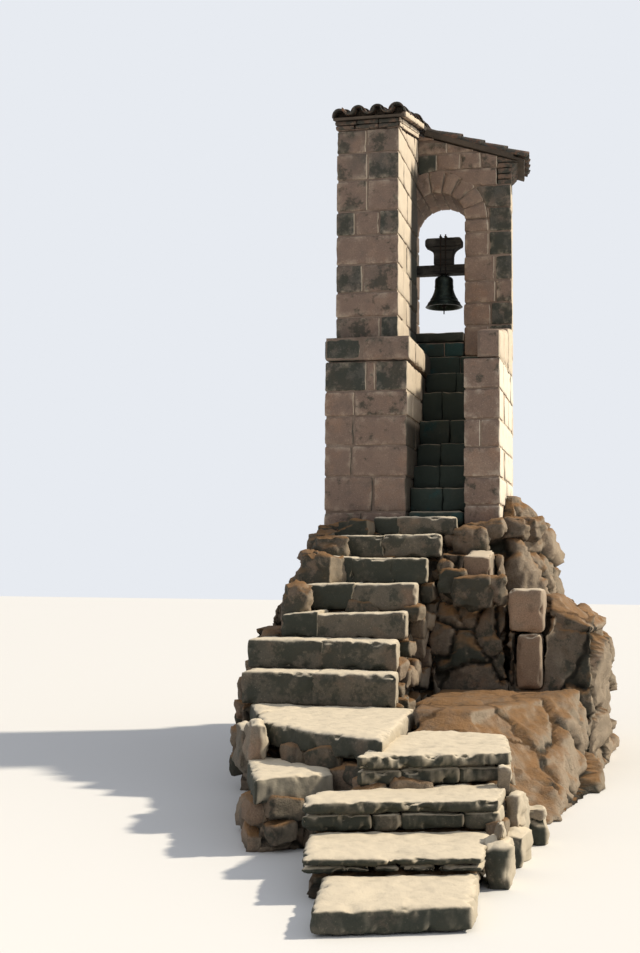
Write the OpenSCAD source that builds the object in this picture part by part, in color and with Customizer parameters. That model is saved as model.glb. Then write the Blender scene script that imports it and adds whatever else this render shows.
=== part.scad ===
// Small free-standing stone bell tower on a battered podium, reached by an outdoor stair.
// Millimetres, +Z up. X runs along the tower's front, Y runs away from the stair's foot.
// The origin lies on the ground below the middle of the tower's front face.

/* [Tower plan] */
// Width of the solid block left of the stairwell
block_w = 798; // [650:1:1000]
// Clear width of the stairwell between the block and the cheek wall
well_w = 541; // [450:1:700]
// Width of the cheek wall right of the stairwell
cheek_w = 334; // [270:1:450]
// Depth of the block and cheek, from the tower's front to the bell wall
wing_d = 1300; // [1080:1:1600]
// Thickness of the bell wall that carries the arch
wall_t = 690; // [550:1:850]
// Width of the pier that stands on the block
pier_w = 614; // [510:1:740]
// Step back of the pier from the block's left face
pier_side = 70; // [20:1:140]
// Step back of the pier from the block's front
pier_front = 139; // [60:1:220]

/* [Tower heights] */
// Height of the podium that the walls start from
podium_h = 2100; // [1740:1:2520]
// Height of the left block above the podium, coping included
block_h = 1810; // [1500:1:2180]
// Height of the coping course on the left block
coping_h = 230; // [150:1:280]
// Overhang of that coping at the front and beside the stairwell
coping_lip = 32; // [15:1:60]
// Height of the sill above the block's top
sill_rise = 264; // [220:1:320]
// Height of the arch's springing above the sill
jamb_h = 1186; // [1000:1:1430]
// Height of the pier's front above the block, up to the eaves course
pier_h = 2080; // [1900:1:2500]
// Height of the thin red course under the pier's roof
eaves_h = 95; // [60:1:130]
// Overhang of that red course
eaves_lip = 22; // [10:1:30]
// Height of the cheek wall's body above the podium
cheek_h = 1580; // [1300:1:1900]
// Height of the cheek's capping stone at its front
cap_h = 270; // [200:1:330]
// Rise of the cheek's capping from its front to the bell wall
cap_rise = 240; // [120:1:300]
// Step back of the capping from the stairwell
cap_notch = 112; // [60:1:150]

/* [Arch] */
// Clear width of the arched opening
arch_w = 580; // [480:1:640]
// Distance of the opening's left jamb behind the pier's right face
jamb_behind = 84; // [40:1:150]
// Depth of the ring of arch stones
ring_d = 240; // [180:1:290]
// Number of arch stones
voussoirs = 9; // [7:2:13]
// Thickness of the sill slab
sill_t = 110; // [80:1:150]
// Overhang of the sill slab at both faces of the wall
sill_lip = 14; // [5:1:30]

/* [Roofs] */
// Slope of the pier's roof, rising away from the front
pier_pitch = 12.5; // [9:0.1:16]
// Overhang of the pier's tiles in front
pier_eave = 95; // [60:1:130]
// Overhang of the pier's roof at its left side
pier_verge = 34; // [25:1:60]
// Overhang of the pier's roof on the side of the bell wall
pier_verge_r = 70; // [40:1:90]
// Thickness of the bed of mortar and channel tiles
tile_bed = 60; // [40:1:80]
// Outer radius of a cover tile
tile_r = 80; // [78:1:85]
// Height of a cover tile's crown above the bed
tile_rise = 78; // [45:1:80]
// Length of a tile that shows below the next one up the slope
tile_step = 244; // [200:1:320]
// Loss of radius along that length, which lets each tile slide under the next
tile_taper = 14; // [8:1:20]
// Number of cover tile rows on the pier
pier_rows = 4; // [3:1:4]
// Slope of the bell wall's roof, falling to the right
wall_pitch = 18.5; // [14:0.1:22]
// Overhang of the bell wall's roof beyond its right end
wall_eave = 155; // [110:1:220]
// Overhang of that roof in front of and behind the wall
wall_verge = 24; // [10:1:45]
// Number of cover tile rows on the bell wall
wall_rows = 4; // [3:1:4]
// Height of the bell wall's masonry above the springing at its right end
haunch_h = 607; // [560:1:680]
// Height of the brick courses below the right eave
corbel_h = 265; // [180:1:300]
// Depth of those courses into the wall
corbel_d = 150; // [100:1:250]
// Reach of their coved top course beyond the wall
corbel_out = 64; // [30:1:90]
// Height of the cove under that course
corbel_cove = 55; // [30:1:80]
// Height from the flush courses' bottom to the cove
corbel_rise = 180; // [100:1:190]

/* [Bell] */
// Height of the swing axis above the sill
axis_rise = 726; // [650:1:800]
// Distance of the bell's centre line right of the opening's middle
bell_shift = 30; // [0:1:40]
// Diameter of the bell's mouth
mouth_d = 400; // [333:1:410]
// Height of the bell from its lip to its shoulder's top
bell_h = 352; // [320:1:400]
// Diameter of the bell's waist
bell_waist = 196; // [164:1:210]
// Height of the cast crown between the shoulder and the yoke
crown_h = 22; // [18:1:34]
// Thickness of the sound bow
bow_t = 27; // [20:1:34]
// Thickness of the bell's waist
waist_t = 13; // [9:1:18]
// Reach of the cast rings beyond the bell's wall
ring_t = 4; // [2:1:6]
// Width of the head of the yoke
yoke_w = 396; // [320:1:410]
// Width of the yoke's waist
yoke_waist = 206; // [160:1:230]
// Height of the yoke above the swing axis
yoke_h = 344; // [300:1:400]
// Thickness of the yoke from front to back
yoke_t = 150; // [120:1:190]
// Height of the yoke's arms
arm_h = 97; // [80:1:115]
// Gap between an arm's end and the bearing
arm_gap = 12; // [8:1:25]
// Radius of the iron gudgeon pins
pin_r = 16; // [12:1:20]
// Radial running clearance of a gudgeon in its bearing
pin_gap = 0.08; // [0.05:0.01:0.1]
// Length of the gudgeon held in the bearing
pin_seat = 70; // [50:1:90]
// Height and width of an iron bearing block
bearing_s = 96; // [80:1:120]
// Radius of the round iron staples that bind the bell to the yoke
staple_r = 7; // [5:1:8]
// Distance of each staple from the bell's centre line
staple_x = 27; // [22:1:32]
// Thickness of the flat bars on top of the yoke
strap_t = 8; // [5:1:12]
// Width of those bars
strap_w = 30; // [24:1:40]
// Radius of the clapper's ball
ball_r = 27; // [22:1:32]
// Length of the clapper from its pivot to the ball's centre
clapper_l = 250; // [220:1:270]
// Length of the tail below that ball
tail_l = 70; // [40:1:90]
// Radius of the pin that carries the clapper
clapper_pin_r = 7; // [5:1:9]

/* [Stair] */
// Worn bevel along the top edges of the slabs
slab_wear = 16; // [8:1:24]
// Step back of the rubble core behind the slabs' ends
core_inset = 38; // [20:1:60]
// Height of the lowest slab
first_rise = 130; // [100:1:180]
// Thickness of the threshold slab on the podium
threshold_t = 150; // [110:1:190]
// Depth of the threshold in front of the first inner step
inner_first = 190; // [120:1:260]

/* [Hidden] */
$fn = 96;
e = 1;

// Plan lines of the tower
tower_w = block_w + well_w + cheek_w;
x_left = -tower_w / 2;
x_well = x_left + block_w;
x_cheek = x_well + well_w;
x_right = x_cheek + cheek_w;
y_wall = wing_d;
y_back = wing_d + wall_t;
y_mid = wing_d + wall_t / 2;
x_pier = x_left + pier_side;
x_pier_r = x_pier + pier_w;
x_jamb_l = x_pier_r - jamb_behind;
x_jamb_r = x_jamb_l + arch_w;
x_arch = (x_jamb_l + x_jamb_r) / 2;
x_bell = x_arch + bell_shift;
x_corbel = x_right - corbel_d;
x_eave = x_right + wall_eave;

// Levels
z_block = podium_h + block_h;
z_sill = z_block + sill_rise;
z_spring = z_sill + jamb_h;
z_eaves = z_block + pier_h;
z_haunch = z_spring + haunch_h;
z_corbel = z_haunch - corbel_h;
z_axis = z_sill + axis_rise;
z_lip = z_axis - arm_h / 2 - bell_h;
arch_r = arch_w / 2;
ring_r = arch_r + ring_d;
bearing_d = pin_seat + 20;
z_cove = z_corbel + corbel_rise;
z_corbel_top = z_cove + corbel_cove;
x_corbel_out = x_right + corbel_out;

// Undersides of the two roofs
function pier_under(y) = z_eaves + eaves_h + (y - pier_front) * tan(pier_pitch);
function wall_under(x) = z_haunch + (x_right - x) * tan(wall_pitch);

// Bell and yoke
yoke_half = yoke_w / 2;
waist_half = yoke_waist / 2;
arm_half = arm_h / 2;
flare = yoke_half - waist_half;
head_h = 98;
flare_z = yoke_h - head_h;
pin_grip = 60;
pin_hold = 0.05;
seat = 0.3;
tip_h = 22;
crown_w = 2 * (staple_x + staple_r + 7);
crown_d = 60;
crown_t = 26;
shoulder_r = 42;
h_body = bell_h - crown_h;
eye_r = 17;
eye_w = 24;
lug_t = 9;
lug_gap = 2;
shank_r = 8;
h_pivot = h_body - crown_t - 30;

// Levels of the outdoor treads, as shares of the podium's height from the ground up
function share_of_podium(shares) = [for (share = shares) share * podium_h];
low_tops = concat([first_rise], share_of_podium([0.107, 0.19, 0.281]));
winder_top = podium_h * 0.214;
landing_top = podium_h * 0.315;
up_tops = share_of_podium([0.431, 0.538, 0.643, 0.75, 0.857, 0.957, 1.043]);
turn_slab_t = 170;

// Levels of the inner treads above the podium, as shares of the block's height
inner_tops = [for (share = [0.207, 0.331, 0.459, 0.597, 0.768, 0.89]) share * block_h];
inner_tread = (wing_d - inner_first) / len(inner_tops);

// Stair slabs in plan, from the cheek's front left corner: anticlockwise from the front left
function from_cheek(plan) = [for (p = plan) p + [x_cheek, 0]];
low_plans = [
    from_cheek([[58, -6290], [788, -6001], [733, -5290], [-32, -5600]]),
    from_cheek([[-102, -5850], [770, -5372], [728, -4640], [-252, -5010]]),
    from_cheek([[-287, -5110], [781, -4709], [768, -4060], [-82, -4530], [-302, -4700]]),
    from_cheek([[-75, -4598], [797, -4113], [683, -3220], [98, -3150], [-82, -3700]])];
winder = from_cheek([[-680, -4650], [-266, -4300], [-342, -4094], [-914, -3630], [-972, -3800]]);
landing = from_cheek([[-914, -3630], [-531, -3978], [41, -4327], [-62, -2440], [-1362, -2390]]);
up_plans = [
    from_cheek([[-1462, -2500], [-197, -2500], [-217, -2080], [-1502, -2080]]),
    from_cheek([[-1512, -2140], [-252, -2140], [-240, -1710], [-1502, -1710]]),
    from_cheek([[-1462, -1770], [-240, -1770], [-222, -1340], [-1432, -1340]]),
    from_cheek([[-1352, -1400], [-217, -1400], [-197, -970], [-1302, -970]]),
    from_cheek([[-1202, -1030], [-187, -1030], [-112, -600], [-1182, -600]]),
    from_cheek([[-1102, -660], [-117, -660], [-32, -250], [-1062, -250]]),
    from_cheek([[-802, -310], [-24, -310], [-2, 0], [-802, 0]])];

// Outlines of the outcrop under the tower at its foot, its bulge and its head
podium_foot = [[x_left - 500, -560], [x_left - 600, 900], [x_left - 370, y_back + 430],
    [300, y_back + 610], [x_right + 510, y_back + 360], [x_right + 720, 900], [x_right + 560, -260]];
podium_bulge = [[x_left - 410, -420], [x_left - 450, 900], [x_left - 250, y_back + 270],
    [300, y_back + 410], [x_right + 400, y_back + 210], [x_right + 580, 900], [x_right + 400, -200]];
podium_head = [[x_left - 25, -30], [x_left - 35, y_back + 40], [300, y_back + 90],
    [x_right + 330, y_back - 40], [x_right + 440, 600], [x_right + 20, -30]];
podium_levels = [0, podium_h * 0.62, podium_h - e];

// Outlines of the boulder that leans on the tower's right side
boulder_foot = [[x_right, 200], [x_right + 200, 330], [x_right + 410, 640], [x_right + 390, 1100],
    [x_right + 150, y_wall + 150], [x_right, y_wall + 150]];
boulder_waist = [[x_right, 240], [x_right + 190, 400], [x_right + 385, 700], [x_right + 320, 1050],
    [x_right, y_wall + 60]];
boulder_head = [[x_right, 460], [x_right + 110, 560], [x_right + 130, 800], [x_right, 1000]];
boulder_levels = [podium_h, podium_h + 80, podium_h + 320];

// Outlines of the rocks that lean on the podium
shoulder_foot = [[x_left - 490, -1450], [x_left - 160, -1500], [x_left + 140, -400],
    [x_left - 560, 300], [x_left - 640, -300]];
shoulder_head = [[x_left - 360, -1150], [x_left - 110, -1200], [x_left + 40, -500],
    [x_left - 360, 100], [x_left - 450, -350]];
shoulder_h = podium_h * 0.56;
x_split = x_right + 160;
y_split = -1100;
ledge_foot = [[x_split, y_split], [x_right + 860, y_split], [x_right + 995, 0], [x_right + 940, 1300],
    [x_right + 460, 1900], [x_split, 1000]];
ledge_bulge = [[x_split, -1080], [x_right + 890, -960], [x_right + 985, -300], [x_right + 820, 1100],
    [x_right + 410, 1500], [x_split, 900]];
ledge_head = [[x_split, -900], [x_right + 560, -640], [x_right + 540, 200], [x_right + 500, 900],
    [x_split, 900]];
ledge_levels = [0, podium_h * 0.58, podium_h * 0.71];
crag_foot = [[x_cheek - 252, y_split], [x_split, y_split], [x_split, -100], [x_cheek - 202, -100]];
crag_bulge = [[x_cheek - 252, -1060], [x_split, -1040], [x_split, -100], [x_cheek - 202, -100]];
crag_head = [[x_cheek - 172, -720], [x_right + 60, -560], [x_right + 60, -60], [x_cheek - 172, -60]];
crag_levels = [0, podium_h * 0.476, podium_h * 0.871];
bank_foot = [[x_cheek - 62, -3420], [x_cheek + 788, -3720], [x_cheek + 978, -3150],
    [x_right + 854, -1950], [x_right + 924, y_split], [x_cheek - 62, y_split]];
bank_head = [[x_cheek - 62, -2900], [x_cheek + 398, -2750], [x_cheek + 748, -1900],
    [x_right + 744, y_split], [x_cheek - 62, y_split]];
bank_h = podium_h / 3;

// Dressed blocks set in the outcrop: near low corner, far high corner
dressed_low = [[x_right + 235, -1180, bank_h], [x_right + 455, -720, podium_h * 0.558]];
dressed_high = [[x_right + 170, -1160, podium_h * 0.558], [x_right + 470, -700, podium_h * 0.736]];
flat_top = [[x_cheek + 106, -900, podium_h * 0.686], [x_cheek + 340, -420, podium_h * 0.897]];

granite = [0.56, 0.50, 0.42];
granite_warm = [0.62, 0.54, 0.43];
granite_dark = [0.40, 0.38, 0.33];
rubble = [0.48, 0.44, 0.38];
tile_red = [0.45, 0.24, 0.18];
iron = [0.16, 0.15, 0.15];
oak = [0.26, 0.20, 0.15];
bronze = [0.30, 0.32, 0.24];

function sum(list, i = 0) = i < len(list) ? list[i] + sum(list, i + 1) : [0, 0];
function centre(plan) = sum(plan) / len(plan);
function drawn_in(plan, d) = [for (p = plan) p + (centre(plan) - p) * d / norm(centre(plan) - p)];
function low_under(i) = i == 0 ? 0 : low_tops[i - 1];
function up_under(i) = i == 0 ? landing_top : up_tops[i - 1];
function inner_y(i) = inner_first + i * inner_tread;
function inner_under(i) = podium_h + (i == 0 ? threshold_t : inner_tops[i - 1]);

// A prism on a plan between two levels
module prism(plan, low, high) {
    translate([0, 0, low]) linear_extrude(high - low) polygon(plan);
}

// An outline in X and Z drawn out along Y, between two depths
module wall_prism(outline, near, far) {
    translate([0, far, 0]) rotate([90, 0, 0]) linear_extrude(far - near) polygon(outline);
}

// An outline in Y and Z drawn out along X, between two places
module side_prism(outline, low_x, high_x) {
    translate([low_x, 0, 0]) rotate([90, 0, 90]) linear_extrude(high_x - low_x) polygon(outline);
}

// A box between two corners
module block(corners) {
    translate(corners[0]) cube(corners[1] - corners[0]);
}

// A stone slab whose top edges are worn to a bevel
module slab(plan, top, thick) {
    hull() {
        prism(plan, top - thick, top - slab_wear);
        prism(drawn_in(plan, slab_wear * 1.6), top - slab_wear, top);
    }
}

// A battered mass drawn through outlines at rising levels
module rock(outlines, levels) {
    hull() for (i = [0 : len(levels) - 1]) prism(outlines[i], levels[i], levels[i] + e);
}

module podium_mass() rock([podium_foot, podium_bulge, podium_head], podium_levels);

// The rounded boulder on the podium, against the tower's right side
module side_boulder() color(rubble) rock([boulder_foot, boulder_waist, boulder_head], boulder_levels);

// The room that the stair takes out of the rocks beside it
module stair_column() {
    for (plan = concat(low_plans, up_plans, [winder, landing])) prism(plan, -e, podium_h + 900);
}

// The outcrop under the tower, battered on every side
module tower_podium() color(rubble) difference() {
    podium_mass();
    stair_column();
}

// The low shoulder of rock that shows left of the upper flight
module left_shoulder() color(rubble) difference() {
    rock([shoulder_foot, shoulder_head], [0, shoulder_h]);
    stair_column();
    podium_mass();
}

// The ledge right of the tower, with the pocket of the dressed blocks
module right_ledge() color(rubble) difference() {
    rock([ledge_foot, ledge_bulge, ledge_head], ledge_levels);
    podium_mass();
    block(dressed_low);
    block(dressed_high);
}

// The shaded crag between the upper flight and the dressed blocks
module front_crag() color(granite_dark) difference() {
    rock([crag_foot, crag_bulge, crag_head], crag_levels);
    stair_column();
    podium_mass();
    block(flat_top);
}

// The lower bank between the crag and the end of the lower flight
module lower_bank() color(rubble) difference() {
    rock([bank_foot, bank_head], [0, bank_h - e]);
    stair_column();
    block(dressed_low);
}

module dressed_block_low() color(granite) block(dressed_low);
module dressed_block_high() color(granite) block(dressed_high);
module flat_block() color(granite) block(flat_top);

module lower_step(i) color(granite_warm) difference() {
    slab(low_plans[i], low_tops[i], low_tops[i] - low_under(i));
    prism(landing, landing_top - turn_slab_t, landing_top + e);
}

module upper_step(i) color(granite_warm) slab(up_plans[i], up_tops[i], up_tops[i] - up_under(i));
module winder_step() color(granite_warm) slab(winder, winder_top, turn_slab_t);
module landing_slab() color(granite_warm) slab(landing, landing_top, turn_slab_t);

// Rubble that carries the lower flight and the winder
module lower_stair_core() color(rubble) difference() {
    union() {
        for (i = [1 : 3]) prism(drawn_in(low_plans[i], core_inset), 0, low_under(i));
        prism(drawn_in(winder, core_inset), 0, winder_top - turn_slab_t);
    }
    for (i = [0 : 3]) prism(low_plans[i], low_under(i), low_tops[i]);
    prism(landing, -e, podium_h);
}

// Rubble that carries the landing and the upper flight
module upper_stair_core() color(rubble) difference() {
    union() {
        prism(drawn_in(landing, core_inset), 0, landing_top - turn_slab_t);
        for (i = [0 : 6]) prism(drawn_in(up_plans[i], core_inset), 0, up_under(i));
    }
    prism(landing, landing_top - turn_slab_t, landing_top);
    prism(low_plans[3], low_under(3), low_tops[3]);
    prism(winder, winder_top - turn_slab_t, winder_top);
    for (i = [0 : 6]) prism(up_plans[i], up_under(i), up_tops[i]);
}

// The slab on the podium that the stairwell starts from
module threshold_slab() color(granite_warm)
    translate([x_well, 0, podium_h]) cube([well_w, wing_d, threshold_t]);

// Each inner tread is a solid stone that runs back to the bell wall
module inner_step(i) color(granite) difference() {
    translate([x_well, inner_y(i), inner_under(i)])
        cube([well_w, wing_d - inner_y(i), podium_h + inner_tops[i] - inner_under(i)]);
    coping_stone();
}

module left_block() color(granite)
    translate([x_left, 0, podium_h]) cube([block_w, wing_d, block_h - coping_h]);

module coping_stone()
    translate([x_left, -coping_lip, z_block - coping_h])
        cube([block_w + coping_lip, wing_d + coping_lip, coping_h]);

module left_block_coping() color(granite_warm) coping_stone();

module right_cheek() color(granite)
    translate([x_cheek, 0, podium_h]) cube([cheek_w, wing_d, cheek_h]);

// The capping climbs towards the bell wall and stands back from the stairwell
module right_cheek_cap() color(granite_warm)
    translate([0, 0, podium_h + cheek_h])
        side_prism([[0, 0], [wing_d, 0], [wing_d, cap_h + cap_rise], [0, cap_h]],
            x_cheek + cap_notch, x_right);

// The bell wall up to the level of the block's top
module bell_wall_base() color(granite)
    translate([x_left, y_wall, podium_h]) cube([tower_w, wall_t, block_h]);

module sill_block() color(granite)
    translate([x_jamb_l, y_wall, z_block]) cube([arch_w, wall_t, sill_rise - sill_t]);

// The sill's nose in front stops at the pier
module sill_slab() color(granite_warm) {
    translate([x_jamb_l, y_wall, z_sill - sill_t]) cube([arch_w, wall_t + sill_lip, sill_t]);
    translate([x_pier_r, y_wall - sill_lip, z_sill - sill_t])
        cube([x_jamb_r - x_pier_r, 2 * sill_lip, sill_t]);
}

// The pocket in a jamb that holds an iron bearing block
module bearing_pocket(x)
    translate([x, y_mid - bearing_s / 2, z_axis - bearing_s / 2]) cube([bearing_d, bearing_s, bearing_s]);

module left_jamb() color(granite) difference() {
    translate([x_pier, y_wall, z_block]) cube([x_jamb_l - x_pier, wall_t, jamb_h + sill_rise]);
    bearing_pocket(x_jamb_l - bearing_d);
}

module right_jamb() color(granite) difference() {
    translate([x_jamb_r, y_wall, z_block]) cube([x_right - x_jamb_r, wall_t, jamb_h + sill_rise]);
    bearing_pocket(x_jamb_r);
}

// A cylinder about the arch's centre, through the wall from face to face
module arch_cylinder(r, over = 0)
    translate([x_arch, y_back + over, z_spring]) rotate([90, 0, 0]) cylinder(r = r, h = wall_t + 2 * over);

// One wedge of the ring, between two joints that point at the arch's centre
module voussoir(i) {
    start = 180 * i / voussoirs;
    end = 180 * (i + 1) / voussoirs;
    reach = ring_r * 1.2;
    intersection() {
        difference() {
            arch_cylinder(ring_r);
            arch_cylinder(arch_r, e);
        }
        translate([x_arch, 0, z_spring])
            wall_prism([[0, 0], [cos(start), sin(start)] * reach, [cos(end), sin(end)] * reach],
                y_wall - e, y_back + e);
    }
}

module arch_stones_odd() color(granite_warm) for (i = [0 : 2 : voussoirs - 1]) voussoir(i);
module arch_stones_even() color(granite) for (i = [1 : 2 : voussoirs - 2]) voussoir(i);

// The wall over the arch, whose top falls to the right below the corbel and stops under both roofs
module gable_wall() color(granite) difference() {
    wall_prism([[x_pier_r, z_spring], [x_right, z_spring], [x_right, z_corbel], [x_corbel, z_corbel],
        [x_corbel, wall_under(x_corbel)], [x_pier_r, wall_under(x_pier_r)]], y_wall, y_back);
    arch_cylinder(ring_r, e);
    side_prism([[y_wall - e, pier_under(y_wall - e)], [y_back + e, pier_under(y_back + e)],
        [y_back + e, pier_under(y_back) + 2 * tile_r], [y_wall - e, pier_under(y_back) + 2 * tile_r]],
        x_pier_r - e, x_pier_r + pier_verge_r + seat);
}

// The brick courses in the wall's right end, coved out under the eave
module eave_corbel() color(tile_red)
    wall_prism([[x_corbel, z_corbel], [x_right, z_corbel], [x_right, z_cove], [x_corbel_out, z_corbel_top],
        [x_corbel_out, wall_under(x_corbel_out)], [x_corbel, wall_under(x_corbel)]], y_wall, y_back);

// The pier stands on the block and runs back as the left part of the bell wall's head
module upper_pier() color(granite) difference() {
    side_prism([[pier_front, z_block], [y_wall, z_block], [y_wall, z_spring], [y_back, z_spring],
        [y_back, pier_under(y_back) - eaves_h], [pier_front, z_eaves]], x_pier, x_pier_r);
    arch_cylinder(ring_r, e);
}

// The thin red course under the pier's roof: level below the front tiles, then climbing with the slope
module pier_eaves_course() color(tile_red) {
    y_lip = pier_front - eaves_lip;
    side_prism([[y_lip, z_eaves + seat], [pier_front, z_eaves + seat],
        [y_back, pier_under(y_back) - eaves_h + seat], [y_back, pier_under(y_back)],
        [y_lip, pier_under(y_lip)]], x_pier - eaves_lip, x_pier_r);
    side_prism([[y_lip, z_eaves + seat], [pier_front, z_eaves + seat],
        [y_wall, pier_under(y_wall) - eaves_h + seat], [y_wall, pier_under(y_wall)],
        [y_lip, pier_under(y_lip)]], x_pier_r - e, x_pier_r + eaves_lip);
}

// A tiled slope along Z with its eave at the far end: a flat bed under rows of cover tiles that lap
module tiled_slope(width, length, rows) {
    row_step = (width - 2 * tile_r) / (rows - 1);
    cube([width, tile_bed, length]);
    intersection() {
        for (i = [0 : rows - 1], k = [0 : ceil(length / tile_step) - 1])
            translate([tile_r + i * row_step, tile_bed + tile_rise - tile_r, length - (k + 1) * tile_step])
                cylinder(r1 = tile_r - tile_taper, r2 = tile_r, h = tile_step);
        cube([width, tile_bed + tile_rise, length]);
    }
}

// The pier's tiles run from a back edge over the bell wall down to the front eave
module pier_roof() color(tile_red) {
    y_front = pier_front - pier_eave;
    width = pier_w + pier_verge + pier_verge_r;
    length = (y_back + wall_verge - y_front) / cos(pier_pitch);
    translate([x_pier - pier_verge, y_front, pier_under(y_front) + seat]) rotate([90 + pier_pitch, 0, 0])
        translate([0, 0, -length]) tiled_slope(width, length, pier_rows);
}

// The bell wall's tiles fall from the pier to the right eave
module wall_roof() color(tile_red) difference() {
    width = wall_t + 2 * wall_verge;
    x_top = x_pier_r + pier_verge_r + seat;
    x_start = x_top - tile_bed - tile_rise;
    translate([x_start, y_wall - wall_verge, wall_under(x_start) + seat]) rotate([0, wall_pitch, 0])
        rotate([90, 0, 90]) tiled_slope(width, (x_eave - x_start) / cos(wall_pitch), wall_rows);
    translate([x_start - width, y_wall - width, z_spring])
        cube([x_top - x_start + width, 3 * width, 2 * width]);
}

// An iron block let into a jamb, bored for the gudgeon
module bearing(x) color(iron) difference() {
    bearing_pocket(x);
    translate([x - e, y_mid, z_axis]) rotate([0, 90, 0]) cylinder(r = pin_r + pin_gap, h = bearing_d + 2 * e);
}

module bearing_left() bearing(x_jamb_l - bearing_d);
module bearing_right() bearing(x_jamb_r);

// The timber yoke: two arms on the swing axis, a waist with hollow flares and a heavy head
module headstock() color(oak) difference() {
    translate([0, y_mid + yoke_t / 2, z_axis]) rotate([90, 0, 0]) linear_extrude(yoke_t) difference() {
        union() {
            translate([x_bell - waist_half, -arm_half]) square([yoke_waist, arm_half + yoke_h]);
            translate([x_bell - yoke_half, flare_z - flare]) square([yoke_w, head_h + flare]);
            translate([x_jamb_l + arm_gap, -arm_half]) square([arch_w - 2 * arm_gap, arm_h]);
        }
        for (side = [-1, 1]) translate([x_bell + side * yoke_half, flare_z - flare]) circle(flare);
    }
    for (x = [x_jamb_l + arm_gap - e, x_jamb_r - arm_gap - pin_grip])
        axis_rod(x, pin_grip + e, pin_r + pin_hold);
}

// A round bar on the swing axis, from a place along X
module axis_rod(x, length, r) translate([x, y_mid, z_axis]) rotate([0, 90, 0]) cylinder(r = r, h = length);

// Two iron pins on the swing axis, let into the yoke's arms
module gudgeons() color(iron) {
    length = pin_grip + arm_gap + pin_seat;
    axis_rod(x_jamb_l - pin_seat, length, pin_r);
    axis_rod(x_jamb_r + pin_seat - length, length, pin_r);
}

// A round iron staple that passes through the bell's crown and clasps the yoke under a flat bar
module staple(x) {
    y_leg = yoke_t / 2 + staple_r + seat;
    z_low = -arm_half - staple_r - seat;
    z_tip = yoke_h + strap_t + tip_h;
    translate([x, y_mid, z_axis]) {
        translate([0, -y_leg, z_low]) rotate([-90, 0, 0]) cylinder(r = staple_r, h = 2 * y_leg);
        for (side = [-1, 1]) translate([0, side * y_leg, z_low]) {
            sphere(r = staple_r);
            cylinder(r = staple_r, h = z_tip - z_low);
        }
        translate([-strap_w / 2, -y_leg - strap_w / 2, yoke_h]) cube([strap_w, 2 * y_leg + strap_w, strap_t]);
    }
}

module yoke_straps() color(iron) for (side = [-1, 1]) staple(x_bell + side * staple_x);

// Outer radius of the bell at a height above its lip: a flare, a straight waist and a rounded shoulder
function flare_at(h) = pow(max(0, 1 - h / (bell_h * 0.625)), 1.6);
function outer_at(h) = bell_waist / 2 + (mouth_d - bell_waist) / 2 * flare_at(h);
function wall_at(h) = waist_t + (bow_t - waist_t) * flare_at(h);
function ring_levels() = [for (share = [0.14, 0.27, 0.66, 0.7]) share * h_body];

// The bell is one casting: its wall, the lugs of the clapper's pin and the crown that the staples hold
module bell() color(bronze) translate([x_bell, y_mid, z_lip]) {
    waist_r = bell_waist / 2;
    inner_r = waist_r - waist_t;
    h_in = h_body - crown_t;
    side_h = h_body - shoulder_r;
    lip_t = bow_t * 0.3;
    rotate_extrude() polygon(concat(
        [[mouth_d / 2 - bow_t, 0], [mouth_d / 2 - lip_t, 0], [outer_at(lip_t), lip_t]],
        [for (k = [1 : 12]) let (h = side_h * k / 12) [outer_at(h), h]],
        [for (t = [15 : 15 : 75]) [waist_r - shoulder_r + shoulder_r * cos(t), side_h + shoulder_r * sin(t)]],
        [[waist_r - shoulder_r, h_body], [0, h_body], [0, h_in], [inner_r - shoulder_r, h_in]],
        [for (t = [75 : -15 : 15]) [inner_r - shoulder_r + shoulder_r * cos(t),
            h_in - shoulder_r + shoulder_r * sin(t)]],
        [for (k = [10 : -1 : 1]) let (h = (h_in - shoulder_r) * k / 10) [outer_at(h) - wall_at(h), h]]));
    for (h = ring_levels()) rotate_extrude() translate([outer_at(h), h]) circle(ring_t);
    difference() {
        translate([-crown_w / 2, -crown_d / 2, h_body - e]) cube([crown_w, crown_d, bell_h - h_body + e]);
        for (side = [-1, 1])
            translate([side * staple_x - staple_r - e, -crown_d, bell_h - 2 * staple_r - seat - e])
                cube([2 * (staple_r + e), 2 * crown_d, 4 * staple_r]);
    }
    for (side = [-1, 1]) translate([side * (eye_w / 2 + lug_gap + lug_t / 2), 0, h_pivot]) {
        rotate([0, 90, 0]) cylinder(r = eye_r, h = lug_t, center = true);
        translate([-lug_t / 2, -eye_r, 0]) cube([lug_t, 2 * eye_r, h_in - h_pivot + e]);
    }
    translate([0, 0, h_pivot]) rotate([0, 90, 0])
        cylinder(r = clapper_pin_r, h = eye_w + 2 * (lug_gap + lug_t), center = true);
}

// The clapper: an eye on its pin, a shank, a ball and a tail that shows below the lip
module clapper() color(iron) translate([x_bell, y_mid, z_lip + h_pivot]) {
    difference() {
        union() {
            rotate([0, 90, 0]) cylinder(r = eye_r, h = eye_w, center = true);
            translate([0, 0, -clapper_l])
                cylinder(r1 = shank_r * 1.3, r2 = shank_r, h = clapper_l - eye_r * 0.8);
        }
        rotate([0, 90, 0]) cylinder(r = clapper_pin_r + pin_gap, h = 2 * eye_w, center = true);
    }
    translate([0, 0, -clapper_l]) sphere(r = ball_r);
    translate([0, 0, -clapper_l - ball_r - tail_l])
        cylinder(r1 = shank_r * 0.7, r2 = shank_r * 1.2, h = tail_l + ball_r / 2);
}

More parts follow.
